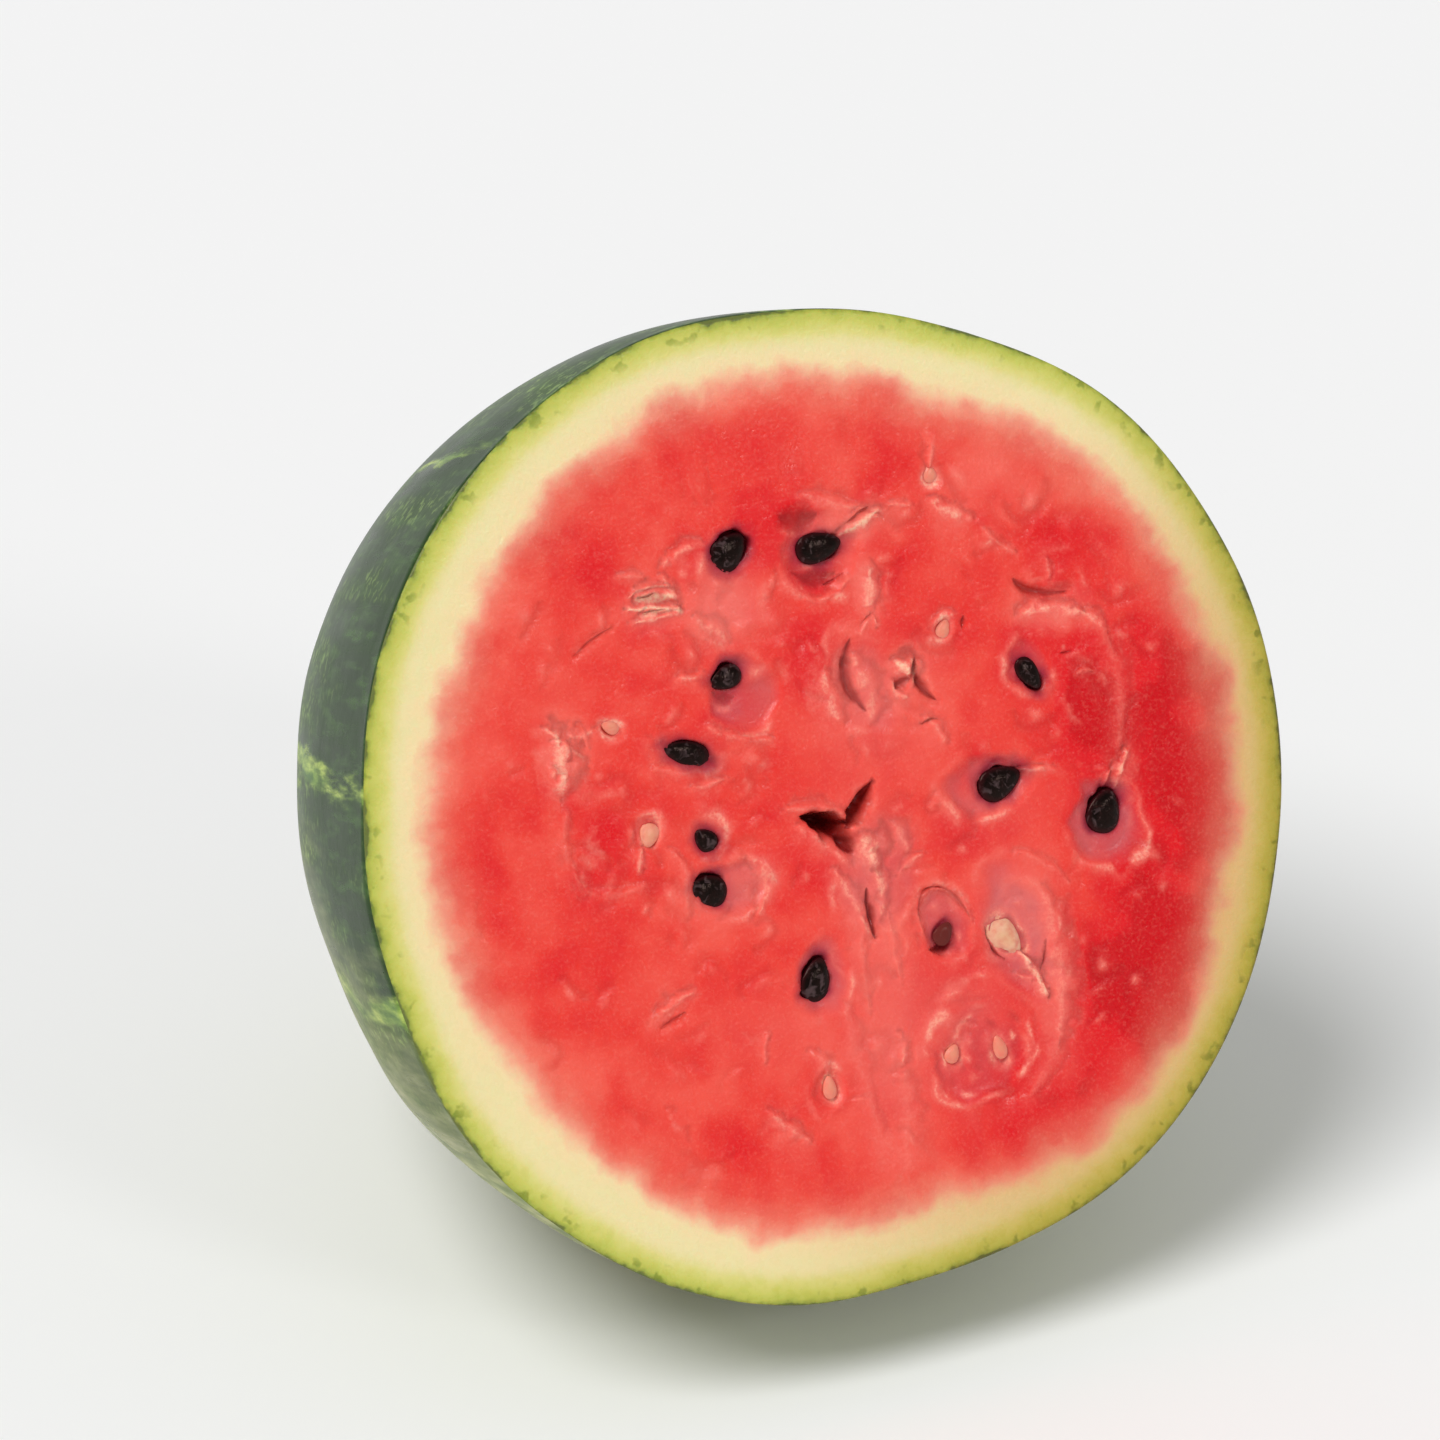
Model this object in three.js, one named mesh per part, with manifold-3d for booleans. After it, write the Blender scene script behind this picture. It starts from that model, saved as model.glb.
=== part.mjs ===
// Watermelon half: an oblong watermelon cut once straight across, lying on its side on its field spot, with
// its cut face towards -Y and leaning back. Millimetres, +Z up. Origin: the middle of the half's box, on the
// surface it lies on. Rind and flesh grew as one body. The seeds are pieces of their own, each in a small
// hollow that opens in the cut.

import * as THREE from "three";
import { mergeVertices } from "three/addons/utils/BufferGeometryUtils.js";
import Module from "manifold-3d";

const wasm = await Module();
wasm.setup();

// The half.
const CUT_RADIUS = 105; // mean radius of the cut face
const DEPTH = 175; // from the cut face to the far end
const LEAN = THREE.MathUtils.degToRad(23.5); // how far the cut face leans back
const FIELD_SPOT_DEPTH = 1.5; // how much the side that lay on the ground is flattened
const SCAR_RADIUS = 6; // the dimple that the flower leaves at the far end
const SCAR_DEPTH = 1.4;

// The outside isn't quite round: shallow lobes run from end to end. Each has its count, its height in mm and
// the angle of one crest on the cut face, in degrees anticlockwise from +X.
const LOBES = [
  { count: 3, height: 0.7, crest: 2 },
  { count: 4, height: 0.8, crest: 39 },
  { count: 5, height: 0.35, crest: 25 },
  { count: 7, height: 0.4, crest: 49 },
];

// Fineness of the faceted surfaces.
const SIDES = 72;
const RINGS = 18;
const SEED_SIDES = 12;
const SEED_RINGS = 8;
const HOLLOW_SIDES = 16;
const HOLLOW_RINGS = 10;
const SLIT_STEPS = 6;

// A seed lies flat in its hollow, a little under the cut.
const DARK_THICKNESS = 0.38; // of the seed's width
const PALE_THICKNESS = 0.45;
const SEED_TAPER = 0.3; // how much slimmer the stalk end is than the round end
const SEED_BULGE = 1.1; // of the thickness: the round end is this much fuller
const SEED_BELOW_CUT = 0.4;

// A hollow leaves room all round its seed.
const HOLLOW_WIDTH = 1.075; // of the seed's width
const HOLLOW_END_GAP = 1.08;
const HOLLOW_SIDE_GAP = 1.35;
const HOLLOW_FLOOR_GAP = 0.9;

// Cutters reach past what they cut.
const BLOCK_SIZE = 4 * CUT_RADIUS;
const CRACK_ABOVE_CUT = 1;

const MERGE_WITHIN = 1e-4; // corners closer than this are one corner
const ON_AXIS = 1e-6; // closer to the axis than this is on it

// Ripe seeds: place on the cut face from its middle, +x right and +y up its slope, length, width, and the way
// that the stalk end points, in degrees anticlockwise from +X.
const DARK_SEEDS = [
  { x: -14, y: 56.5, length: 9.6, width: 7.2, points: 38 },
  { x: 6.2, y: 53.8, length: 10.4, width: 6.4, points: 4 },
  { x: -19, y: 30.3, length: 7.4, width: 5, points: 195 },
  { x: -30.3, y: 17, length: 10.8, width: 5.4, points: 158 },
  { x: -29.3, y: -2, length: 5.6, width: 4.6, points: 130 },
  { x: -30.2, y: -12.4, length: 8.6, width: 6.8, points: 155 },
  { x: -9.4, y: -36, length: 9.8, width: 6.4, points: 68 },
  { x: 49.2, y: 18.8, length: 8, width: 4.6, points: 298 },
  { x: 38.6, y: -2.6, length: 10.2, width: 7, points: 15 },
  { x: 61.8, y: -13.6, length: 9.8, width: 7.6, points: 66 },
  { x: 20.4, y: -32, length: 5.4, width: 4, points: 50 },
];

// Seeds that never ripened stay small and pale.
const PALE_SEEDS = [
  { x: 34.4, y: -35.2, length: 10, width: 6.4, points: 305 },
  { x: -41.5, y: 1.4, length: 5.2, width: 4.2, points: 250 },
  { x: -10.6, y: -58.8, length: 5, width: 3, points: 88 },
  { x: 31.2, y: 31.4, length: 5, width: 3.4, points: 65 },
  { x: 33.6, y: 64.4, length: 4, width: 3.2, points: 85 },
  { x: -46, y: 25.5, length: 4.4, width: 3.2, points: 150 },
  { x: 28.9, y: -58.4, length: 5.2, width: 3, points: 100 },
  { x: 18.2, y: -57.6, length: 4.2, width: 3.2, points: 60 },
];

// Cracks in the flesh, each a curved slit from one tip to the other, through the side it bends to.
const CRACKS = [
  { from: [-7.2, -1.6], bend: [0.5, -6.5], to: [8.8, 2.2], width: 4.2, deep: 9 },
  { from: [0.6, -2.6], bend: [0.8, -6], to: [2.6, -10.4], width: 3.2, deep: 7 },
  { from: [9.8, 33.5], bend: [4.6, 25.5], to: [10.6, 18], width: 1.7, deep: 4 },
  { from: [23.8, 27.2], bend: [21.2, 22.8], to: [27.2, 17], width: 1.9, deep: 4 },
  { from: [48.8, 39.6], bend: [50.8, 34.2], to: [60.2, 34.6], width: 1.5, deep: 3.5 },
  { from: [4.6, -18.6], bend: [4.3, -24], to: [4.6, -29.6], width: 1.3, deep: 4 },
];

const FLESH = new THREE.MeshStandardMaterial({ color: 0xe2463c, roughness: 0.4, metalness: 0 });
const RIPE = new THREE.MeshStandardMaterial({ color: 0x1e120f, roughness: 0.3, metalness: 0 });
const UNRIPE = new THREE.MeshStandardMaterial({ color: 0xf0c79a, roughness: 0.4, metalness: 0 });

// A closed geometry as a solid, and a solid as a geometry.
function solidOf(geometry) {
  const bare = geometry.clone();
  bare.deleteAttribute("normal");
  bare.deleteAttribute("uv");
  const merged = mergeVertices(bare, MERGE_WITHIN);
  const vertProperties = merged.attributes.position.array;
  const triVerts = new Uint32Array(merged.index.array);
  return new wasm.Manifold(new wasm.Mesh({ numProp: 3, vertProperties, triVerts }));
}

function geometryOf(solid) {
  const mesh = solid.getMesh();
  const geometry = new THREE.BufferGeometry();
  geometry.setAttribute("position", new THREE.BufferAttribute(mesh.vertProperties, 3));
  geometry.setIndex(new THREE.BufferAttribute(mesh.triVerts, 1));
  geometry.computeVertexNormals();
  return geometry;
}

// Shapes are made about the Y axis with the cut at y = 0 and the outside of the cut at +Y, and this turns
// them to the way the half lies: local X stays, local Y becomes the way the cut face looks, and local Z runs
// down its slope.
const LYING = new THREE.Matrix4().makeRotationX(Math.PI - LEAN);

// A place on the cut face: x to the right and y up the slope become local X and -Z. Turning a piece that
// points along X by an angle on the face is a turn about local Y.
function onCutFace(x, y, turn) {
  return new THREE.Matrix4()
    .makeTranslation(x, 0, -y)
    .multiply(new THREE.Matrix4().makeRotationY(THREE.MathUtils.degToRad(turn)));
}

// How far the lobes push the outside out at an angle on the cut face.
function lobeHeight(angle) {
  return LOBES.reduce(
    (sum, lobe) => sum + lobe.height * Math.cos(lobe.count * (angle - THREE.MathUtils.degToRad(lobe.crest))),
    0,
  );
}

// The half as it grew: half an oblong ellipsoid, turned about the Y axis from its far end up to the cut, with
// the flower's scar at the far end and lobes that fade out towards it.
function melonBody() {
  const profile = [];
  for (let ring = 0; ring <= RINGS; ring++) {
    const angle = (ring / RINGS) * (Math.PI / 2);
    const radius = CUT_RADIUS * Math.sin(angle);
    const scar = SCAR_DEPTH * Math.exp(-((radius / SCAR_RADIUS) ** 2));
    profile.push(new THREE.Vector2(ring === 0 ? 0 : radius, -DEPTH * Math.cos(angle) + scar));
  }
  profile[RINGS].y = 0;
  profile.push(new THREE.Vector2(0, 0));
  const body = new THREE.LatheGeometry(profile, SIDES);
  const position = body.attributes.position;
  for (let i = 0; i < position.count; i++) {
    const x = position.getX(i);
    const z = position.getZ(i);
    const radius = Math.hypot(x, z);
    if (radius < ON_AXIS) continue;
    const grown = 1 + (lobeHeight(Math.atan2(-z, x)) * (radius / CUT_RADIUS)) / CUT_RADIUS;
    position.setXYZ(i, x * grown, position.getY(i), z * grown);
  }
  return body.applyMatrix4(LYING);
}

// How high the cut face's middle lies above the half's lowest point: the ellipsoid's reach straight down.
function middleHeight() {
  return Math.hypot(DEPTH * Math.sin(LEAN), CUT_RADIUS * Math.cos(LEAN));
}

// What the ground kept flat: a block under the level of the field spot.
function fieldSpotBlock() {
  const block = new THREE.BoxGeometry(BLOCK_SIZE, BLOCK_SIZE, BLOCK_SIZE);
  return block.translate(0, 0, -middleHeight() + FIELD_SPOT_DEPTH - BLOCK_SIZE / 2);
}

// A seed, lying flat under the cut: a teardrop turned about its length, flattened, its stalk end pointing as
// asked.
function seedGeometry(seed, thickness) {
  const profile = [];
  for (let ring = 0; ring <= SEED_RINGS; ring++) {
    const angle = (ring / SEED_RINGS) * Math.PI;
    const along = -Math.cos(angle);
    const across = ring % SEED_RINGS === 0 ? 0 : Math.sin(angle) * (1 - SEED_TAPER * along);
    profile.push(new THREE.Vector2((across * seed.width) / 2, (along * seed.length) / 2));
  }
  const thick = thickness * seed.width;
  return new THREE.LatheGeometry(profile, SEED_SIDES)
    .rotateZ(-Math.PI / 2)
    .scale(1, thickness, 1)
    .translate(0, -SEED_BELOW_CUT - (thick / 2) * SEED_BULGE, 0)
    .applyMatrix4(onCutFace(seed.x, seed.y, seed.points))
    .applyMatrix4(LYING);
}

// The hollow that a seed lies in: a bowl that opens in the cut, wider and deeper than the seed.
function hollowGeometry(seed, thickness) {
  const deep = SEED_BELOW_CUT + thickness * seed.width * SEED_BULGE + HOLLOW_FLOOR_GAP;
  const wide = seed.width * HOLLOW_WIDTH;
  return new THREE.SphereGeometry(1, HOLLOW_SIDES, HOLLOW_RINGS)
    .scale(seed.length / 2 + HOLLOW_END_GAP, deep, wide / 2 + HOLLOW_SIDE_GAP)
    .applyMatrix4(onCutFace(seed.x, seed.y, seed.points))
    .applyMatrix4(LYING);
}

// A crack: a slit along a curve, widest half way and closing to a point at both tips, cut straight in.
function crackGeometry(crack) {
  const line = new THREE.QuadraticBezierCurve(
    new THREE.Vector2(...crack.from),
    new THREE.Vector2(...crack.bend),
    new THREE.Vector2(...crack.to),
  );
  const edge = (side) => (step) => {
    const t = step / SLIT_STEPS;
    const along = line.getTangent(t);
    const half = (side * crack.width * Math.sin(Math.PI * t)) / 2;
    const point = line.getPoint(t);
    return new THREE.Vector2(point.x - along.y * half, point.y + along.x * half);
  };
  const steps = Array.from({ length: SLIT_STEPS + 1 }, (_, step) => step);
  const right = steps.map(edge(-1));
  const left = steps.slice(1, -1).reverse().map(edge(1));
  return new THREE.ExtrudeGeometry(new THREE.Shape([...right, ...left]), {
    depth: crack.deep + CRACK_ABOVE_CUT,
    bevelEnabled: false,
  })
    .translate(0, 0, -crack.deep)
    .rotateX(-Math.PI / 2)
    .applyMatrix4(LYING);
}

// Seeds of one kind, each with its name, its thickness and the look of its coat.
function named(seeds, kind, thickness, coat) {
  return seeds.map((seed, i) => ({ ...seed, name: `${kind}_seed_${i + 1}`, thickness, coat }));
}

const seeds = [
  ...named(DARK_SEEDS, "dark", DARK_THICKNESS, RIPE),
  ...named(PALE_SEEDS, "pale", PALE_THICKNESS, UNRIPE),
];

const half = new THREE.Group();

function addPiece(name, geometry, material) {
  const piece = new THREE.Mesh(geometry, material.clone());
  piece.name = name;
  half.add(piece);
}

// The flesh and rind, less the field spot, the hollows of the seeds and the cracks.
const removed = [
  fieldSpotBlock(),
  ...seeds.map((seed) => hollowGeometry(seed, seed.thickness)),
  ...CRACKS.map(crackGeometry),
];
const melon = removed.reduce((body, cut) => body.subtract(solidOf(cut)), solidOf(melonBody()));
addPiece("melon_half", geometryOf(melon), FLESH);
for (const seed of seeds) {
  addPiece(seed.name, seedGeometry(seed, seed.thickness), seed.coat);
}

// The origin goes to the middle of the half's box, at its lowest level.
const box = new THREE.Box3().setFromObject(half);
const middle = box.getCenter(new THREE.Vector3());
half.position.set(-middle.x, -middle.y, -box.min.z);

export default half;
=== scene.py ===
import math

import bpy
import numpy as np
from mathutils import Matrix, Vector, geometry


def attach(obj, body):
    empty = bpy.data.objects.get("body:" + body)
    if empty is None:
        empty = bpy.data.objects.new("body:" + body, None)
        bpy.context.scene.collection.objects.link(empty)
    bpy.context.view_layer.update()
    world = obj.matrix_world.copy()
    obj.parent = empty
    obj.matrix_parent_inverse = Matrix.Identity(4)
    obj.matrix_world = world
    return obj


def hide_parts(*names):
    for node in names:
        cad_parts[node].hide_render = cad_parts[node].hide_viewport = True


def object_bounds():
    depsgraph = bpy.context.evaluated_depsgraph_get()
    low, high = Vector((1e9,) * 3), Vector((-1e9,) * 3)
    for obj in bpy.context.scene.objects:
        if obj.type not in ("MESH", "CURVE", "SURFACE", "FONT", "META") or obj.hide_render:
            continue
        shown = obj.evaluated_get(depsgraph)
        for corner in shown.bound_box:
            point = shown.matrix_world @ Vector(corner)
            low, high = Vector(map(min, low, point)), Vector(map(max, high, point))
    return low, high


# The looks of a watermelon half, lying on its side with its cut face leaning back. Everything is in metres in
# the part's own frame. Work on the cut face is done in millimetres from its middle: x to the right, y up its
# slope.

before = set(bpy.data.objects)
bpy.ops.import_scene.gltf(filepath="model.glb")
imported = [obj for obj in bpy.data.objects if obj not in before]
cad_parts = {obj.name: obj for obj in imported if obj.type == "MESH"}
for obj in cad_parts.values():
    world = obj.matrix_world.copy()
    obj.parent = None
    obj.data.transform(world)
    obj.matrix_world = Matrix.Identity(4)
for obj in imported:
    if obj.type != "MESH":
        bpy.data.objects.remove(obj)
cad_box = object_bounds()

MM = 0.001
CUT_RADIUS = 105.0  # mean radius of the cut face, mm
DEPTH = 175.0  # from the cut face to the far end, mm
LOBES = [(3, 0.7, 2), (4, 0.8, 39), (5, 0.35, 25), (7, 0.4, 49)]  # count, mm, crest in degrees

# Thickness of the rind every 30 degrees, anticlockwise from the right, mm.
RIND = [11, 14, 15.3, 13, 14.8, 15.8, 13.2, 16.8, 15.2, 15.4, 11.2, 11]

# Shallow basins in the flesh round the seeds: x, y, half length, half width, turn in degrees, depth, how much
# pink wet film, partly a painted sheen of the wet walls, lies in them (0 to 1), and which way the pale lip
# lies, in degrees.
BASINS = [
    (-14.5, 56, 7.4, 5.8, 38, 0.5, 0.5, 200),
    (-16, 46, 8.5, 7.5, 20, 0.25, 0.1, 300),
    (6, 51.8, 10.5, 9, 10, 1.3, 0.3, 285),
    (-16.2, 26.4, 8, 9, 60, 1.1, 0.75, 320),
    (-25.6, -12.6, 7.6, 6.4, 0, 0.8, 0.6, 340),
    (-29, -1.6, 4.8, 4, 20, 0.4, 0.5, 20),
    (-8, -36.2, 6, 8.6, -20, 0.7, 0.7, 340),
    (-30.6, 16.2, 7.4, 4.6, -20, 0.3, 0.5, 250),
    (48.4, 20.4, 5.2, 6.2, 20, 0.7, 0.5, 200),
    (35.6, -2.6, 11.5, 7, 8, 1.3, 0.7, 250),
    (61.2, -15.4, 9, 11.4, -12, 1.2, 1.0, 300),
    (20.6, -29.6, 5.8, 8.2, 12, 1.3, 0.7, 80),
    (37, -34.6, 8.6, 14.5, 14, 0.7, 0.8, 10),
    (-10.8, -58.4, 3.4, 4.8, 0, 0.9, 0.1, 60),
    (-41.6, 1.4, 4, 4.6, 0, 0.6, 0.2, 90),
    (24, -58, 12, 10.5, 20, 0.6, 0.35, 250),
    (11, 24, 8, 12, 10, 0.3, 0.35, 190),
    (8, -16, 12, 10, 60, 0.2, 0.5, 250),
]

# Cracks in the flesh, and three shallow folds at the end of the list: from, bend, to, greatest width, depth.
CRACKS = [
    ((-8, -1), (-1.4, -3.2), (3.4, -4.8), 3.6, 8),
    ((-7, -1.4), (0.5, -3.4), (2.9, -11.4), 5.4, 8),
    ((2.4, -6), (4.8, -2.6), (9.4, 3.2), 4.2, 5),
    ((9.8, 34), (4.6, 25.5), (10.6, 18), 3.2, 1.6),
    ((23.8, 27.2), (21.2, 22.8), (27.2, 17), 2.4, 1.8),
    ((18, 21), (19.6, 22.8), (21.8, 22.4), 2.6, 1.4),
    ((48.4, 39.6), (50.8, 34.6), (60.6, 34.6), 2.3, 1.3),
    ((4.6, -18.6), (4.3, -24), (4.6, -29.6), 1.9, 2),
    ((16.4, -34.6), (19.2, -35.6), (22, -33.6), 2.2, 1.6),
    ((15.4, -28.6), (15.6, -20.6), (20, -21.8), 0.9, 0.6),
    ((20, -21.8), (24.4, -22.6), (26.4, -29.6), 0.9, 0.6),
    ((-36.2, 50.4), (-33.6, 50), (-31, 50.8), 0.6, 0.8),
    ((-35.6, 47.2), (-33, 46.8), (-30, 47.2), 0.5, 0.7),
    ((30.2, -32), (29.6, -36.6), (33.4, -40), 0.9, 1.2),
    ((43.6, -37), (43, -42), (41, -44), 0.6, 0.8),
    ((-52, 41.2), (-47.6, 44.2), (-42.6, 45.6), 0.9, 0.5),
    ((34.8, 31.2), (35.6, 32.6), (36, 34), 1.2, 1),
    ((56.4, 21.8), (57.4, 21.4), (58.6, 21.8), 0.9, 0.7),
    ((22.6, 12.6), (24.6, 13.8), (26.6, 13.2), 0.9, 0.7),
    ((11, 47.4), (5.6, 44.6), (5.8, 46), 0.7, 0.7),
    ((-46, -39), (-43, -37.8), (-40, -36.2), 0.9, 0.5),
    ((-2.4, 61.6), (2, 59.4), (7, 60.6), 4.6, 0.7),
    ((-0.6, 49.4), (4, 45.6), (9.4, 47.6), 3.4, 0.7),
    ((-22.6, 28.6), (-20.6, 26), (-17.4, 26.6), 3, 0.7),
]

# Pale threads and fibres that lie proud of the flesh: from, bend, to, width, height, paleness.
FIBRES = [
    ((11.6, 55.2), (15.6, 57), (20.6, 58.8), 1.7, 0.5, 1.0),
    ((12.4, 57.4), (15, 59.4), (18.6, 60.2), 0.7, 0.3, 0.5),
    ((4, 64.6), (10, 61.8), (17, 60), 2, 0.2, 0.45),
    ((64.4, -9.2), (66.2, -5.4), (68, -1.6), 1.7, 0.5, 0.8),
    ((62.2, -8), (62.4, -6.4), (64.2, -4.6), 0.8, 0.3, 0.5),
    ((43, -0.6), (47, -1), (51.4, -2.4), 1.1, 0.3, 0.7),
    ((37.2, -39.4), (40, -43.4), (41.2, -49), 1.5, 0.6, 0.95),
    ((35, -43.8), (37.4, -45), (40, -45.8), 1, 0.3, 0.5),
    ((33.8, 65.8), (34.2, 68), (34.2, 70.6), 1.4, 0.3, 0.5),
    ((-38.6, 48.4), (-33, 48), (-27, 46.2), 1.3, 0.4, 1.0),
    ((-38, 51), (-34, 52.4), (-29, 51.8), 1, 0.3, 0.7),
    ((-37.6, 45.4), (-32, 45), (-28, 45.6), 1.1, 0.3, 0.7),
    ((-29.6, 53.8), (-28, 51), (-27.4, 47), 1.2, 0.3, 0.6),
    ((-29, 56.2), (-25, 58.6), (-20.8, 59), 1.8, 0.3, 0.6),
    ((-39, 55.4), (-36.5, 55), (-34, 54.4), 1, 0.2, 0.5),
    ((-60.6, 27.4), (-57.6, 25.4), (-56.6, 20.6), 1.5, 0.3, 0.7),
    ((-60.4, 18.4), (-59.4, 14.6), (-57.2, 17), 1.4, 0.3, 0.7),
    ((-55, 27.6), (-51.8, 25), (-52, 22), 1.2, 0.2, 0.4),
    ((-29.2, 32.6), (-27, 32), (-24.6, 32.8), 1.6, 0.3, 0.6),
    ((-46.8, -36.8), (-42.4, -34), (-37.4, -32.6), 1.4, 0.35, 0.55),
    ((-24.4, -61.4), (-22, -66), (-17.6, -68.6), 1.9, 0.35, 0.55),
    ((-23, -44.6), (-24.6, -47.6), (-24.6, -50.6), 1, 0.25, 0.4),
    ((-43.6, -1.4), (-44.8, -3.6), (-45, -5.6), 1.3, 0.3, 0.6),
    ((6.8, -51), (7.8, -54.2), (6.2, -56.8), 1.4, 0.3, 0.5),
    ((12, 34.4), (15.4, 39.8), (16, 35.4), 0.8, 0.25, 0.55),
    ((16.4, 47), (16, 42), (14.2, 38.6), 2.4, 0.25, 0.7),
    ((33, 58.6), (35.6, 56), (40.6, 53.8), 2.2, 0.25, 0.75),
    ((22.6, 59.4), (25.4, 59.4), (27.6, 58.6), 0.9, 0.2, 0.5),
    ((43.6, 50.4), (45.6, 46.8), (49.4, 45.2), 1, 0.25, 0.45),
    ((50, 31.6), (56, 32.8), (61.8, 30.2), 2.8, 0.25, 0.75),
    ((61.8, 30.2), (64.8, 28.6), (67.4, 25.4), 1.6, 0.25, 0.6),
    ((56.6, 42), (57, 40.2), (56.4, 38), 0.9, 0.2, 0.45),
    ((18.8, 26.4), (20.4, 25.8), (21.2, 23.8), 2.4, 0.4, 1.0),
    ((5.4, -9.4), (7, -10.4), (6.6, -13.4), 4, 0.35, 0.85),
    ((12.2, -17.4), (14.6, -15.2), (18.4, -14.2), 1.1, 0.25, 0.5),
    ((39.6, -18.4), (44, -18.6), (50, -26.8), 1, 0.2, 0.35),
    ((43.6, -27), (47.6, -38), (43, -58), 3.4, 0.2, 0.5),
    ((15.2, -31), (15, -21.4), (20.4, -22.4), 1.1, 0.3, 0.35),
    ((20.4, -22.4), (25.4, -23.6), (26.6, -30.4), 1.1, 0.3, 0.4),
    ((-24.6, 21.4), (-21, 16.6), (-11.8, 16.4), 1.2, 0.25, 0.45),
    ((-30.6, 9.4), (-27, 8.4), (-23, 9.6), 1.2, 0.25, 0.5),
    ((1, 43.6), (6, 41), (11.6, 46), 1.2, 0.25, 0.45),
    ((2.2, -25), (1, -34), (0.6, -44), 1.4, 0.15, 0.35),
    ((8.4, -24), (7.8, -32), (8.6, -40), 1.2, 0.15, 0.3),
    ((59.4, 16.6), (61, 17.6), (63.6, 16.8), 1, 0.2, 0.35),
    ((66.6, 26), (72, 12), (66, 0), 2.4, 0.15, 0.3),
    ((-58.6, 9.4), (-62.8, 1), (-57.4, -7), 1.6, 0.2, 0.35),
    ((-57.4, -7), (-51, -11), (-44, -8.6), 1.4, 0.15, 0.3),
    ((43, -58), (40.6, -66), (33, -70), 2, 0.15, 0.35),
    ((7.2, -13), (8.4, -19), (6.8, -24), 2.4, 0.25, 0.7),
    ((-2, -14), (1.4, -20), (3.2, -28), 2, 0.2, 0.6),
    ((-4.6, -44), (-3.8, -56), (-1, -72), 2.6, 0.1, 0.3),
    ((6.2, -60), (6, -68), (4, -78), 3, 0.1, 0.35),
    ((-36, 49.8), (-32.4, 49.4), (-28.6, 49.6), 2.4, 0.3, 1.0),
    ((-35, 46.6), (-31.4, 46.4), (-28, 47), 2, 0.3, 0.9),
    ((12.4, 56.2), (16.4, 58.2), (20.2, 57.4), 1.6, 0.3, 0.6),
    ((22.4, 26.6), (23.6, 24.6), (22.6, 21.6), 1.8, 0.3, 0.8),
    ((17.6, 22.6), (17.4, 19.6), (20.4, 18.8), 1.6, 0.3, 0.6),
    ((28.8, 33), (30.4, 35), (33.4, 34.6), 1.4, 0.25, 0.5),
    ((-59, 24.4), (-56, 23), (-53.4, 19.8), 1.8, 0.3, 0.6),
    ((24, 13.6), (26.4, 11.4), (26.8, 8.4), 1.6, 0.25, 0.5),
    ((-8.4, -3), (-3.4, -7.4), (1, -12.4), 2, 0.3, 0.5),
    ((-11, 0.6), (-4.6, 0.8), (1.4, -2.2), 1.6, 0.3, 0.45),
    ((-58.6, 26), (-57.4, 20), (-58.8, 14.6), 3.8, 0.25, 0.85),
    ((-55.6, 25), (-53, 24.4), (-50.6, 25.4), 2, 0.2, 0.6),
    ((-23.6, 43.4), (-21, 41), (-18.4, 38.8), 2.8, 0.2, 0.6),
    ((-14, -51), (-11.4, -53), (-10.6, -56), 1.6, 0.2, 0.45),
    ((-37, -3), (-33.6, -6), (-36, -16), 1.6, 0.2, 0.4),
    ((2.4, 27), (1.6, 21), (4, 17.6), 2.6, 0.15, 0.65),
    ((9.8, 29), (12.6, 22), (11.6, 16.6), 3, 0.15, 0.6),
    ((12.8, -7), (14.4, -9), (15, -12.6), 1.8, 0.25, 0.5),
    ((-21, -19.6), (-15.6, -14), (-19.6, -8.6), 1.8, 0.2, 0.6),
    ((-38, 14.6), (-32, 12), (-25, 12.6), 2, 0.2, 0.4),
]

# Where the flesh is a deeper red (above 0) or a lighter orange red (below 0): x, y, reach across, reach up,
# amount. The big deep red spots along the right and lower right edge are partly the flesh's own crimson
# and partly painted shade on that side.
TONES_AND_SHADE = [
    (90, -6, 27, 36, 1.5),
    (68, -48, 24, 22, 1.5),
    (46, -72, 18, 8, 0.9),
    (61, 10, 8, 9, 1.6),
    (28, -60, 7, 6, 1.2),
    (27, -13, 6, 5, 0.8),
    (57, 47, 8, 6, 0.5),
    (-44, 62, 10, 7, 0.35),
    (-20, 36, 8, 4, 0.6),
    (-12, 12, 4, 4, 0.5),
    (-2, 33, 7, 9, 0.7),
    (-44, -6, 12, 6, 0.45),
    (-12, 60, 14, 6, 0.35),
    (3, 60, 5, 3, 2),
    (4.6, 47, 4, 3, 2),
    (-19.5, 26.6, 3, 2.4, 1.6),
    (-51, 4, 5, 4, 1),
    (9.4, -17, 1.6, 4, 0.8),
    (47, 26, 4.5, 3.5, 0.8),
    (30, -14, 5, 5, 0.5),
    (26, -60, 9, 7, 0.6),
    (-52, 3, 6, 4, 0.5),
    (-14, -58, 7, 5, 0.5),
    (20, 45, 16, 12, 0.25),
    (-50, 20, 34, 34, -0.35),
    (-34, -48, 18, 14, -0.2),
    (14, 16, 18, 14, -0.3),
    (46, 60, 11, 9, -0.6),
    (0, -74, 12, 8, -0.15),
    (12, -44, 9, 7, 0.35),
    (61, 13, 9, 10, 0.8),
    (2, 60, 4, 3, 1),
    (-10, -20, 10, 8, 0.35),
    (19, -1, 7, 6, 0.3),
    (12, -45, 9, 8, 0.3),
    (84, -4, 10, 24, 0.5),
    (60, -52, 16, 12, 0.5),
]

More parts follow.
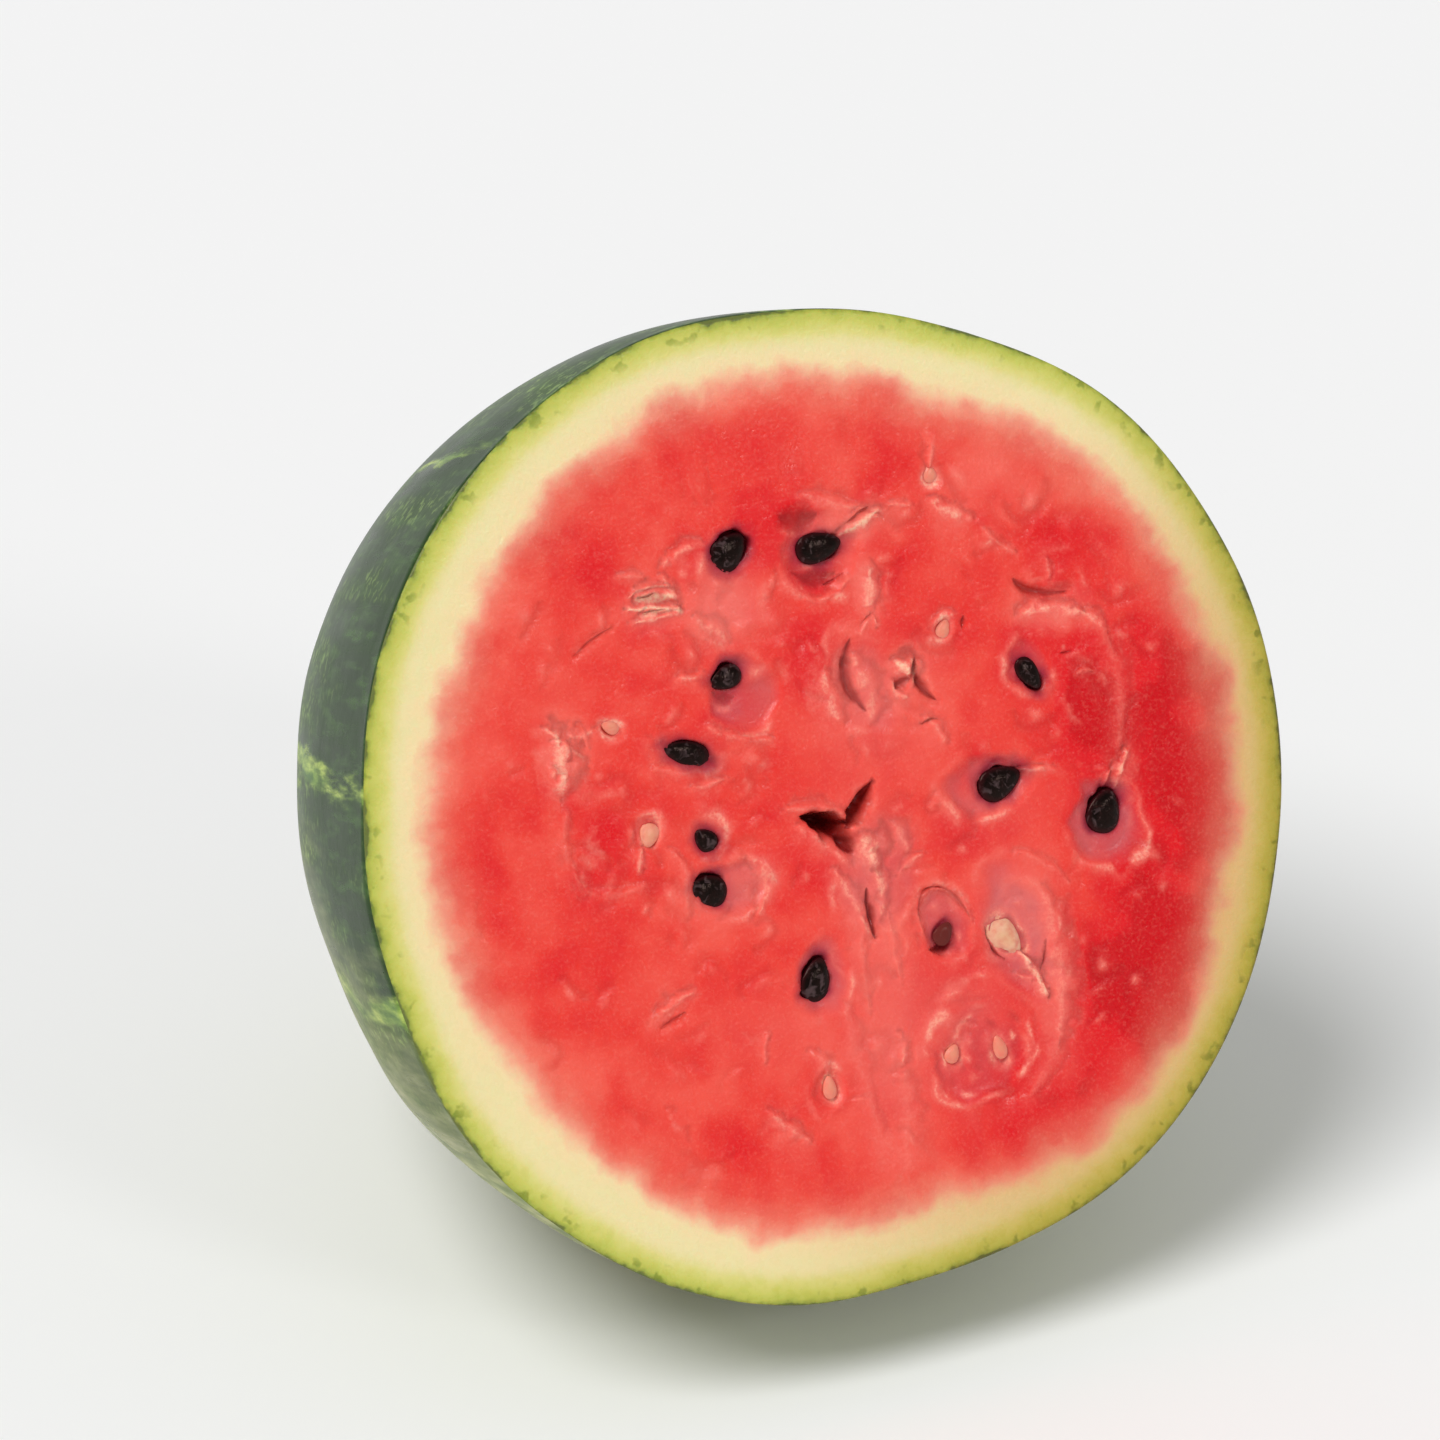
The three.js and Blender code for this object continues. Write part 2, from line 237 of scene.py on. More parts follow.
# Where the flesh is pinker and more see-through: x, y, reach across, reach up, amount.
PINKS = [
    (6, -24, 8, 22, 0.8),
    (-17, 45, 8, 7.5, 1.3),
    (10, 57, 9, 4, 0.7),
    (15, 42, 3, 8, 0.8),
    (56, 31, 8, 3, 0.8),
    (43, -46, 4, 16, 0.8),
    (9, 24, 5, 8, 0.5),
    (-33, 48, 7, 5, 0.6),
    (-57, 22, 4, 7, 0.6),
    (-27, -14, 7, 5, 0.7),
    (10, -52, 20, 16, 0.45),
    (24, -46, 8, 5, 0.3),
    (36, -28, 9, 10, 0.6),
    (14, 16, 14, 12, 0.5),
    (-22, -44, 14, 8, 0.3),
    (34, -8, 12, 6, 0.4),
    (0, -72, 10, 9, 0.15),
    (3, -57, 6, 12, 0.4),
    (46, 60, 10, 8, 0.3),
    (38, -30, 6, 8, 0.5),
    (-20, -12, 5, 4, 0.6),
    (24, 25, 5, 5, 0.6),
    (18, 58, 6, 4, 0.6),
]

# Fine curved layers round a few middles in the flesh: x, y, reach, amount.
SWIRLS = [
    (25, -57, 17, 0.9),
    (-50, 3, 12, 0.6),
    (61, 11, 12, 0.5),
    (37, -34, 14, 0.5),
    (20, -30, 9, 0.6),
    (4.6, -30, 16, 0.5),
    (-11, -60, 12, 0.5),
    (8, 52, 13, 0.4),
    (12, 26, 12, 0.5),
    (-33, 48, 9, 0.5),
    (-57, 22, 8, 0.5),
    (58, 34, 14, 0.5),
    (62, -16, 15, 0.4),
    (-27, -12, 11, 0.4),
]

# Pale stripes of the skin: place round the cut in degrees, and breadth beside a usual one.
STRIPES = [
    (88, 0.9),
    (52, 0.75),
    (14, 1.2),
    (-24, 0.85),
    (-62, 1.4),
    (-100, 1.5),
    (222, 1.3),
    (193, 0.4),
    (166, 0.65),
    (124, 0.35),
]

HOLLOW_SHIFT = 0.6  # how far each hollow lies off its seed's middle, so that the flesh laps over one side, mm
SMALL_SEED = 2.3  # seeds with less than this half width never grew to full size, mm
SPECKS = 170  # short pale and dark marks scattered over the flesh
SEED_LIFT = 0.35  # how far a seed's top stands above its CAD solid's, still under the cut, mm
HOLLOW_TAPER = 0.12  # how much narrower a hollow is at its seed's stalk end

# The flower's scar at the far end: a dimple, and a low ring round it, mm.
SCAR_DEPTH = 1.6
SCAR_REACH = 5.5
SCAR_RING = 9
SCAR_RING_HEIGHT = 0.5

# Patterns of the rind and skin are drawn out along the way from the cut to the far end.
SKIN_GRAIN = 4  # how much longer than broad they are on the skin
FACE_GRAIN = 3.2  # how fast they run on over the cut, beside the skin

# How fine the meshes are.
SKIN_SIDES = 288  # corners round the rim and the skin
SKIN_RINGS = 84  # steps from the rim to the far end
SEED_SIDES = 36  # corners round a seed
SEED_RINGS = 22  # steps from its one end to the other
FLESH_STEP = 0.68  # between the cut face's corners, mm
FLESH_REACH = 80  # how far from the middle the seeds, cracks and fibres go, mm
RIND_STEP = 1.5  # between the cut face's corners beyond that, mm
CLEAR_CELL = 0.26  # the even scatter leaves out squares of this size round rows that follow a shape, mm
CLEAR_CELLS = 450  # from the middle to the edge of the grid of those squares
RIM_ROWS = (1.6, 1.0, 0.55, 0.25, 0.0)  # how far inside the rim its rows of corners lie, mm
RIM_CLEAR = 2.2  # the even scatter ends this far inside the rim, mm

# The flat side that the half lies on, in metres.
GROUND_BLEND = 0.004  # corners higher than this stay where they are
GROUND_SOFTNESS = 0.0004  # how gently the flat bends into the skin


# --- Numbers and noise ---


def srgb(code):
    """A colour's sRGB hex value as the linear RGBA that a shader takes."""
    parts = [int(code[i : i + 2], 16) / 255 for i in (1, 3, 5)]
    return (*[p / 12.92 if p <= 0.04045 else ((p + 0.055) / 1.055) ** 2.4 for p in parts], 1.0)


def ease(value, low, high):
    """0 below low, 1 above high, and a smooth rise between."""
    t = np.clip((value - low) / (high - low), 0, 1)
    return t * t * (3 - 2 * t)


def humps(x, y, size, seed):
    """Smooth heights from -1 to 1 over a plane, random but fixed by `seed`, with humps about `size` across."""
    cells = 64
    grid = np.random.default_rng(seed).uniform(-1, 1, (cells, cells))
    u, v = x / size + cells, y / size + cells
    i, j = np.floor(u).astype(int), np.floor(v).astype(int)
    fu, fv = ease(u - i, 0, 1), ease(v - j, 0, 1)
    low = grid[i % cells, j % cells] * (1 - fu) + grid[(i + 1) % cells, j % cells] * fu
    high = grid[i % cells, (j + 1) % cells] * (1 - fu) + grid[(i + 1) % cells, (j + 1) % cells] * fu
    return low * (1 - fv) + high * fv


def spot(x, y, middle_x, middle_y, reach_x, reach_y):
    """A soft round spot: 1 in its middle, fading out over its reach."""
    return np.exp(-(((x - middle_x) / reach_x) ** 2) - ((y - middle_y) / reach_y) ** 2)


def bow(start, bend, end, steps):
    """Points along a curve from start to end that leans towards bend."""
    t = np.linspace(0, 1, steps)[:, None]
    a, b, c = (np.array(p, float) for p in (start, bend, end))
    return (1 - t) ** 2 * a + 2 * t * (1 - t) * b + t**2 * c


def near_curve(x, y, line, reach):
    """For the points within reach of a line: indices, distance to it, side (-1 or 1) and share along it."""
    low, high = line.min(0) - reach, line.max(0) + reach
    near = np.flatnonzero((x > low[0]) & (x < high[0]) & (y > low[1]) & (y < high[1]))
    point = np.stack([x[near], y[near]], 1)
    best = np.full(len(near), 1e9)
    side = np.ones(len(near))
    share = np.zeros(len(near))
    for k in range(len(line) - 1):
        step = line[k + 1] - line[k]
        offset = point - line[k]
        t = np.clip(offset @ step / (step @ step), 0, 1)
        distance = np.linalg.norm(offset - t[:, None] * step, axis=1)
        closer = distance < best
        best = np.where(closer, distance, best)
        cross = step[0] * offset[:, 1] - step[1] * offset[:, 0]
        side = np.where(closer, np.sign(cross), side)
        share = np.where(closer, (k + t) / (len(line) - 1), share)
    return near, best, side, share


# --- The cut face's place, from the CAD solid ---


def corners(node):
    """A CAD node's corners, in metres."""
    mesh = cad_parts[node].data
    flat = np.zeros(len(mesh.vertices) * 3)
    mesh.vertices.foreach_get("co", flat)
    return flat.reshape(-1, 3)


def cut_face_frame():
    """The cut face's middle, its right, the way up its slope and the way it looks."""
    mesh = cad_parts["melon_half"].data
    normals = np.zeros(len(mesh.polygons) * 3)
    areas = np.zeros(len(mesh.polygons))
    mesh.polygons.foreach_get("normal", normals)
    mesh.polygons.foreach_get("area", areas)
    normals = normals.reshape(-1, 3)
    sides, group = np.unique(np.round(normals, 3), axis=0, return_inverse=True)
    in_largest = group.ravel() == np.argmax(np.bincount(group.ravel(), weights=areas))
    out = areas[in_largest] @ normals[in_largest]
    out /= np.linalg.norm(out)
    points = corners("melon_half")
    height = points @ out
    face = np.unique(np.round(points[height > height.max() - 0.05 * MM], 6), axis=0)
    right = np.cross((0, 0, 1), out)
    right /= np.linalg.norm(right)
    up = np.cross(out, right)
    flat = np.stack([face @ right, face @ up], 1)
    from_middle = np.linalg.norm(flat - (flat.min(0) + flat.max(0)) / 2, axis=1)
    rim = face[from_middle > 0.9 * from_middle.max()]
    return rim.mean(0), right, up, out


MIDDLE, RIGHT, UP, OUT = cut_face_frame()


def placed(x, y, out):
    """Points given in mm on the cut face, and above it, as places in the part's frame in metres."""
    return MIDDLE + (np.outer(x, RIGHT) + np.outer(y, UP) + np.outer(out, OUT)) * MM


def on_face(points):
    """The reverse of placed: x, y and height above the cut face in mm."""
    away = (points - MIDDLE) / MM
    return away @ RIGHT, away @ UP, away @ OUT


def seed_facts(node):
    """A CAD seed's middle on the cut face, its half length and half width, which way its stalk end points,
    and how high its top and bottom lie, in mm and radians."""
    x, y, out = on_face(corners(node))
    middle = np.array([(x.min() + x.max()) / 2, (y.min() + y.max()) / 2])
    flat = np.stack([x, y], 1) - middle
    _, axes = np.linalg.eigh(flat.T @ flat)
    along = axes[:, 1]
    u, v = flat @ along, flat @ np.array([-along[1], along[0]])
    centre = (u.max() + u.min()) / 2
    middle = middle + along * centre
    if np.sum(np.abs(v) * (u - centre)) > 0:
        along = -along
    return {
        "middle": middle,
        "long": (u.max() - u.min()) / 2,
        "wide": (v.max() - v.min()) / 2,
        "turn": math.atan2(along[1], along[0]),
        "top": out.max(),
        "bottom": out.min(),
    }


SEEDS = {name: seed_facts(name) for name in sorted(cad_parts) if "_seed_" in name}


# --- The shape of the melon ---


def lobes(angle):
    """How far the lobes push the outside out, mm."""
    return sum(high * np.cos(count * (angle - math.radians(crest))) for count, high, crest in LOBES)


def rim_radius(angle):
    """The cut face's radius, mm: the lobes, and the small dents of a real rind."""
    dents = humps(20 * np.cos(angle), 20 * np.sin(angle), 5, 11) * 0.5
    return CUT_RADIUS + lobes(angle) + dents


def rind_thickness(angle):
    """Thickness of the rind, mm, smooth between the values of RIND."""
    turns = np.mod(angle, 2 * math.pi) / (2 * math.pi) * len(RIND)
    i = np.floor(turns).astype(int)
    t = ease(turns - i, 0, 1)
    values = np.array(RIND, float)
    return values[i % len(RIND)] * (1 - t) + values[(i + 1) % len(RIND)] * t


def opening(x, y, seed):
    """Distance from the ragged edge of the hollow that a seed shows through, mm, negative inside."""
    c, s = math.cos(seed["turn"]), math.sin(seed["turn"])
    random = np.random.default_rng(int(abs(seed["middle"][0]) * 100))
    way = random.uniform(0, 2 * math.pi)
    dx = x - seed["middle"][0] - HOLLOW_SHIFT * math.cos(way)
    dy = y - seed["middle"][1] - HOLLOW_SHIFT * math.sin(way)
    u = (dx * c + dy * s) / seed["long"]
    v = (dy * c - dx * s) / (seed["wide"] * (1 - HOLLOW_TAPER * np.clip(u, -1, 1)))
    # Flesh laps over a seed's edge, and further over a small one's.
    covered = 1.05 if seed["wide"] > SMALL_SEED else 1.15
    reach = covered * np.hypot(u, v) + 0.2 * humps(x, y, 2.4, int(seed["long"] * 100))
    return (reach - 1) * seed["wide"]


def scattered_marks():
    """Short bowed marks all over the flesh: line, width, height and paleness of each."""
    random = np.random.default_rng(7)
    marks = []
    nearest, furthest = 12, 84
    for _ in range(SPECKS):
        radius = nearest + (furthest - nearest) * random.random() ** 0.75
        angle = random.uniform(0, 2 * math.pi)
        middle = radius * np.array([math.cos(angle), math.sin(angle)])
        way = angle + math.pi / 2 + random.normal(0, 0.8)
        half = random.uniform(0.5, 2.6) * np.array([math.cos(way), math.sin(way)])
        line = bow(middle - half, middle + random.normal(0, 1.2, 2), middle + half, 5)
        marks.append((line, random.uniform(0.9, 2.8), random.uniform(0.05, 0.22), random.uniform(0.1, 0.6)))
    return marks


def basins(x, y):
    """The shallow basins: how deep they are, and how much film with painted sheen, pale lip and raised lip
    they have.
    """
    deep, film, pale, lip_height = (np.zeros_like(x) for _ in range(4))
    for bx, by, long, wide, turn, depth, pink, lip in BASINS:
        c, s = math.cos(math.radians(turn)), math.sin(math.radians(turn))
        u, v = (x - bx) * c + (y - by) * s, (y - by) * c - (x - bx) * s
        reach = np.hypot(u / long, v / wide) + 0.16 * humps(x, y, 5, 4)
        deep += depth * (1 - ease(reach, 0.6, 1.02))
        # Pink film, partly a painted sheen of the wet basin walls.
        film = np.maximum(film, pink * (1 - ease(reach, 0.6, 1.06)) * (0.8 + 0.3 * humps(x, y, 3, 41)))
        facing = 0.5 + 0.5 * np.cos(np.arctan2(y - by, x - bx) - math.radians(lip))
        edge = np.exp(-(((reach - 1.04) * wide / 1.1) ** 2)) * facing * ease(humps(x, y, 4.2, 42), -0.5, 0.6)
        pale = np.maximum(pale, 0.7 * edge)
        lip_height += 0.14 * edge
    return deep, film, pale, lip_height


def swirls(x, y):
    """Fine curved layers in the flesh round a few middles, from -1 to 1."""
    total = np.zeros_like(x)
    for sx, sy, reach, amount in SWIRLS:
        away = np.hypot(x - sx, y - sy)
        round_it = np.arctan2(y - sy, x - sx) * reach / 5
        lines = humps(away / 1.1, round_it + 40, 1.5, int(reach))
        total += amount * lines * np.exp(-((away / reach) ** 4)) * ease(away, 1, 5)
    return np.clip(total, -1, 1)


def seed_hollows(x, y, cut):
    """Sinks the hollow of each seed and paints shade into it. Round a ripe seed the flesh gets a ring of
    painted shade, an unripe one has a pale edge.
    """
    for name, seed in SEEDS.items():
        off = opening(x, y, seed)
        ripe = name.startswith("dark")
        deepest = -seed["bottom"] + 0.2 if ripe else 0.9
        into = np.clip(-off / 1.2, 0, 1)
        sag = 0.4 * (1 - ease(off, 0, 1.5))
        bowl = -sag - deepest * (1 - (1 - into) ** 2)
        cut["height"] = np.where(off < 0, np.minimum(cut["height"], bowl), cut["height"] - sag)
        # Painted shade inside the hollow, weaker for an unripe seed.
        shade = np.clip(0.6 - off / 0.9, 0, 1) * (1 if ripe else 0.35)
        cut["hollow"] = np.maximum(cut["hollow"], shade)
        ragged = 0.75 + 0.6 * humps(x, y, 2.6, 51)
        if ripe:
            # A darker purple red ring of painted shade round a ripe seed.
            stain = (1 - ease(off, 0, 2.7)) * np.clip(ragged, 0, 1)
            cut["stain"] = np.maximum(cut["stain"], stain)
        else:
            edge = 0.7 * np.exp(-(((off - 0.5) / 0.9) ** 2)) * ragged
            cut["pale"] = np.maximum(cut["pale"], edge)


def raise_to(values, near, wanted):
    """Raises some of a pattern's values to at least the wanted ones."""
    values[near] = np.maximum(values[near], wanted)


def cracks(x, y, bent_x, bent_y, cut):
    """Opens the cracks, with painted shade deep inside and a broken pale lip."""
    for start, bend, end, width, depth in CRACKS:
        line = bow(start, bend, end, 13)
        crack_x, crack_y = bent_x * 0.35 + x * 0.65, bent_y * 0.35 + y * 0.65
        near, away, _, share = near_curve(crack_x, crack_y, line, width + 2)
        half = width / 2 * np.sin(np.pi * np.clip(share, 0, 1)) ** 0.7 + 0.02
        half = half * (1 + 0.35 * humps(x[near], y[near], 1.8, 52))
        open_to = np.clip(1 - away / half, 0, 1)
        cut["height"][near] -= depth * open_to**0.8 * half / (width / 2)
        cut["height"][near] -= 0.25 * np.exp(-(((away - half) / 0.6) ** 2)) * (away > half)
        # Painted shade inside the crack, stronger for a deeper one.
        darkness = min(1, 0.3 + depth / 3.4)
        raise_to(cut["dark"], near, np.clip(1.35 - away / half, 0, 1) * darkness)
        lip = np.exp(-(((away - half - 0.9) / 0.7) ** 2)) * np.sin(np.pi * share)
        lip *= ease(humps(x[near], y[near], 3, 53), -0.4, 0.5)
        raise_to(cut["pale"], near, 0.5 * lip)


def fibres(x, y, bent_x, bent_y, cut):
    """Lays the pale fibres: each a ridge with a groove along one side that gets painted shade, in flesh that
    pales towards it.
    """
    for start, bend, end, width, high, light in FIBRES:
        line = bow(start, bend, end, 13)
        near, away, side, share = near_curve((x + bent_x) / 2, (y + bent_y) / 2, line, width + 2)
        half = width / 1.5 * (0.6 + 0.5 * np.sin(np.pi * share))
        half = half * (1 + 0.5 * humps(x[near], y[near], 2.1, 54))
        ridge = np.exp(-((away / half) ** 2) * 1.2) * ease(humps(x[near], y[near], 1.7, 55), -1.2, -0.1)
        cut["height"][near] += 1.5 * high * ridge
        groove = np.exp(-(((away - 1.7 * half) / (0.6 * half)) ** 2)) * (side > 0)
        cut["height"][near] -= high * groove
        # Painted shade in the groove.
        raise_to(cut["dark"], near, 0.45 * light * groove)
        raise_to(cut["pale"], near, light * ridge)
        round_it = np.exp(-((away / (2.8 * half)) ** 2)) * (0.8 + 0.5 * humps(x[near], y[near], 1.9, 56))
        raise_to(cut["pale"], near, 0.5 * light * round_it)


def specks(bent_x, bent_y, cut):
    """Lays the scattered marks: short low ridges, each with a groove along one side that gets painted shade.
    """
    for line, width, high, light in scattered_marks():
        near, away, side, share = near_curve(bent_x, bent_y, line, 2.5 * width)
        ridge = np.exp(-((2 * away / width) ** 2)) * np.sin(np.pi * np.clip(share, 0.05, 0.95))
        groove = np.exp(-((2 * (away - width) / width) ** 2)) * (side > 0)
        cut["height"][near] += high * ridge - high * groove
        raise_to(cut["pale"], near, light * ridge)
        # Painted shade in the groove.
        raise_to(cut["dark"], near, 0.3 * light * groove)


def relief(x, y):
    """The cut surface at points on it: its height in mm, and the patterns that its colours follow."""
    # Everything in the flesh bends a little, so that no edge is a clean curve.
    bent_x = x + 1.0 * humps(x, y, 6.5, 31) + 0.5 * humps(x, y, 2.4, 32)
    bent_y = y + 1.0 * humps(x, y, 6.5, 33) + 0.5 * humps(x, y, 2.4, 34)
    deep, film, lips, lip_height = basins(bent_x, bent_y)
    layers = swirls(bent_x, bent_y)
    height = 0.16 * humps(x, y, 21, 1) + 0.06 * humps(x, y, 6, 2) + 0.025 * humps(x, y, 2.2, 3)
    cut = {
        "height": height + lip_height - deep + 0.25 * layers,
        "film": film,
        "pale": np.maximum(lips, 0.75 * ease(layers, 0.12, 0.75)),
        # Painted shade in the low layers of the swirls.
        "dark": 0.3 * ease(-layers, 0.2, 0.9),
        "hollow": np.zeros_like(x),
        "stain": np.zeros_like(x),
    }
    seed_hollows(x, y, cut)
    cracks(x, y, bent_x, bent_y, cut)
    fibres(x, y, bent_x, bent_y, cut)
    specks(bent_x, bent_y, cut)

    # Flesh tone, with painted shade in the deep red spots along the right.
    tone = sum(amount * spot(bent_x, bent_y, *place) for *place, amount in TONES_AND_SHADE)
    cut["tone"] = tone + 0.5 * humps(bent_x, bent_y, 11, 61) + 0.4 * humps(bent_x, bent_y, 4.8, 62)
    pink = sum(amount * spot(bent_x, bent_y, *place) for *place, amount in PINKS)
    cut["pink"] = np.clip(pink, 0, 1)
    angle = np.arctan2(y, x)
    from_skin = rim_radius(angle) - np.hypot(x, y)
    ragged = 1.6 * humps(x, y, 12, 6) + 1.3 * humps(x, y, 5.5, 7)
    cut["from_skin"] = from_skin
    cut["into_flesh"] = from_skin - rind_thickness(angle) - ragged
    # The lower right side, where the rind gets painted warm shade.
    cut["ochre"] = ease(np.cos(angle + math.radians(30)), 0.1, 0.95)
    # The cut rounds over within the last half millimetre before the skin.
    height = cut.pop("height") * ease(from_skin, 0, 6) - 0.35 * (1 - ease(from_skin, 0, 0.6))
    return height, cut


def seed_rows():
    """Rows of points round each seed, along the edge of its hollow and inside and outside it."""
    rows = []
    turn = np.linspace(0, 2 * math.pi, 44, endpoint=False)
    for seed in SEEDS.values():
        for reach in (0.25, 0.5, 0.7, 0.84, 0.93, 1.0, 1.06, 1.14, 1.26, 1.4):
            u = np.cos(turn) * seed["long"] * reach
            v = np.sin(turn) * seed["wide"] * reach * (1 - HOLLOW_TAPER * np.cos(turn))
            c, s = math.cos(seed["turn"]), math.sin(seed["turn"])
            rows.append(np.stack([seed["middle"][0] + u * c - v * s, seed["middle"][1] + u * s + v * c], 1))
    return rows


def line_rows():
    """Rows of points along the cracks and fibres, on both sides of each."""
    rows = []
    for start, bend, end, width, *_ in CRACKS + FIBRES:
        line = bow(start, bend, end, 25)
        along = np.gradient(line, axis=0)
        normal = np.stack([-along[:, 1], along[:, 0]], 1) / np.linalg.norm(along, axis=1)[:, None]
        half = (width / 2 * np.sin(np.linspace(0, math.pi, 25)) ** 0.7)[:, None]
        for share in (-1.6, -1, -0.5, 0, 0.5, 1, 1.6):
            rows.append(line + normal * half * share)
    return rows


def lattice(step, low, high):
    """Evenly scattered points, a step apart, from low to high away from the middle."""
    count = int(high / step) + 2
    i, j = np.meshgrid(np.arange(-count, count + 1), np.arange(-count, count + 1))
    x = (i + 0.5 * (j % 2)) * step
    y = j * step * math.sqrt(0.75)
    points = np.stack([x.ravel(), y.ravel()], 1)
    radius = np.hypot(*points.T)
    return points[(radius >= low) & (radius < high)]


def clear_of(points, others):
    """The points that aren't in or beside the same small square as one of the others."""
    taken = np.zeros((2 * CLEAR_CELLS, 2 * CLEAR_CELLS), bool)
    last = 2 * CLEAR_CELLS - 1
    for dx in (-1, 0, 1):
        for dy in (-1, 0, 1):
            i = np.clip((others / CLEAR_CELL + CLEAR_CELLS).astype(int) + (dx, dy), 0, last)
            taken[i[:, 0], i[:, 1]] = True
    i = np.clip((points / CLEAR_CELL + CLEAR_CELLS).astype(int), 0, last)
    return points[~taken[i[:, 0], i[:, 1]]]


def face_points(around):
    """Where the cut face's corners go: rows that follow each hollow, crack, fibre and the rim, and an even
    scatter, closer in the flesh, between them. The outermost row is apart."""
    follow = np.concatenate(seed_rows() + line_rows())
    inner = clear_of(lattice(FLESH_STEP, 0, FLESH_REACH), follow)
    outer = lattice(RIND_STEP, FLESH_REACH + RIND_STEP * 0.4, CUT_RADIUS - 3.4)
    keep = np.hypot(*outer.T) < rim_radius(np.arctan2(outer[:, 1], outer[:, 0])) - RIM_CLEAR
    rim = []
    for inside in RIM_ROWS:
        radius = rim_radius(around) - inside
        rim.append(np.stack([radius * np.cos(around), radius * np.sin(around)], 1))
    return np.concatenate([follow, inner, outer[keep], *rim[:-1]]), rim[-1]


def cut_face():
    """The cut face: its corners, triangles and patterns, with the corners of its rim last."""
    around = np.linspace(0, 2 * math.pi, SKIN_SIDES, endpoint=False)
    inside, rim = face_points(around)
    points = np.concatenate([inside, rim])
    first = len(inside)
    edges = [(first + i, first + (i + 1) % SKIN_SIDES) for i in range(SKIN_SIDES)]
    flat = [Vector(p) for p in points]
    made = geometry.delaunay_2d_cdt(flat, edges, [], 1, 1e-4)
    corners_made, triangles, origin = np.array([tuple(p) for p in made[0]]), np.array(made[2]), made[3]
    # Put the rim's corners last and in order again, whatever order the triangulation gave them.
    rim_new = np.full(SKIN_SIDES, -1)
    for new, olds in enumerate(origin):
        for old in olds:
            if old >= first:
                rim_new[old - first] = new
    rest = np.setdiff1d(np.arange(len(corners_made)), rim_new)
    order = np.concatenate([rest, rim_new])
    place = np.empty(len(order), int)
    place[order] = np.arange(len(order))
    x, y = corners_made[order].T
    height, patterns = relief(x, y)
    return np.stack([x, y, height], 1), place[triangles], patterns


def skin():
    """The outside, from just behind the rim to the far end: its corners, and for each how far along the skin
    from the rim it lies and at what angle."""
    around = np.linspace(0, 2 * math.pi, SKIN_SIDES, endpoint=False)
    rings = []
    slope = np.linspace(math.pi / 2, 0, SKIN_RINGS + 1)[1:-1]
    radii = rim_radius(around) - CUT_RADIUS
    meridian = 0.0
    before = (CUT_RADIUS, 0.0)
    along = []
    for angle in slope:
        radius, back = CUT_RADIUS * math.sin(angle), DEPTH * math.cos(angle)
        meridian += math.hypot(radius - before[0], back - before[1])
        before = (radius, back)
        along.append(meridian)
        share = radius / CUT_RADIUS
        dents = 0.5 * humps(22 * np.cos(around) * share, 22 * np.sin(around) * share + back / 5, 5, 21)
        scar = SCAR_DEPTH * math.exp(-((radius / SCAR_REACH) ** 2))
        scar -= SCAR_RING_HEIGHT * math.exp(-(((radius - SCAR_RING) / (SCAR_RING / 3)) ** 2))
        ring = radius + (radii * share + dents) * share
        depth = np.full(SKIN_SIDES, -back + scar)
        rings.append(np.stack([ring * np.cos(around), ring * np.sin(around), depth], 1))
    far = np.array([[0, 0, -DEPTH + SCAR_DEPTH]])
    points = np.concatenate([*rings, far])
    along = np.concatenate([np.repeat(along, SKIN_SIDES), [meridian + before[0]]])
    angles = np.concatenate([np.tile(around, len(rings)), [0]])
    return points, along, angles


def shown(name, mesh):
    """A mesh as a smooth object in the scene."""
    mesh.polygons.foreach_set("use_smooth", np.ones(len(mesh.polygons), bool))
    mesh.update()
    made = bpy.data.objects.new(name, mesh)
    bpy.context.scene.collection.objects.link(made)
    return made


def keep_pattern(mesh, name, values):
    """Stores a number for each of a mesh's corners, for its material to read."""
    mesh.attributes.new(name, "FLOAT", "POINT").data.foreach_set("value", values.astype(np.float32))


def skin_faces(first_ring, count):
    """Faces from the rim, the cut face's last ring of corners, over the skin's corners to the tip."""
    starts = [first_ring + k * SKIN_SIDES + np.arange(SKIN_SIDES) for k in range(count // SKIN_SIDES + 1)]
    faces = []
    for near, far in zip(starts, starts[1:]):
        right, far_right = np.roll(near, -1), np.roll(far, -1)
        faces += list(zip(near.tolist(), far.tolist(), far_right.tolist(), right.tolist()))
    tip = first_ring + SKIN_SIDES + count - 1
    last = starts[-1]
    return faces + [(int(a), tip, int(b)) for a, b in zip(last, np.roll(last, -1))]


def flattened(world):
    """Flattens the side that lay on the ground: nothing reaches below it, and the flat's edge is soft."""
    low = world[:, 2]
    flat = (low + np.sqrt(low**2 + GROUND_SOFTNESS**2)) / 2
    world[:, 2] = np.where(low < GROUND_BLEND, flat, low)
    return world


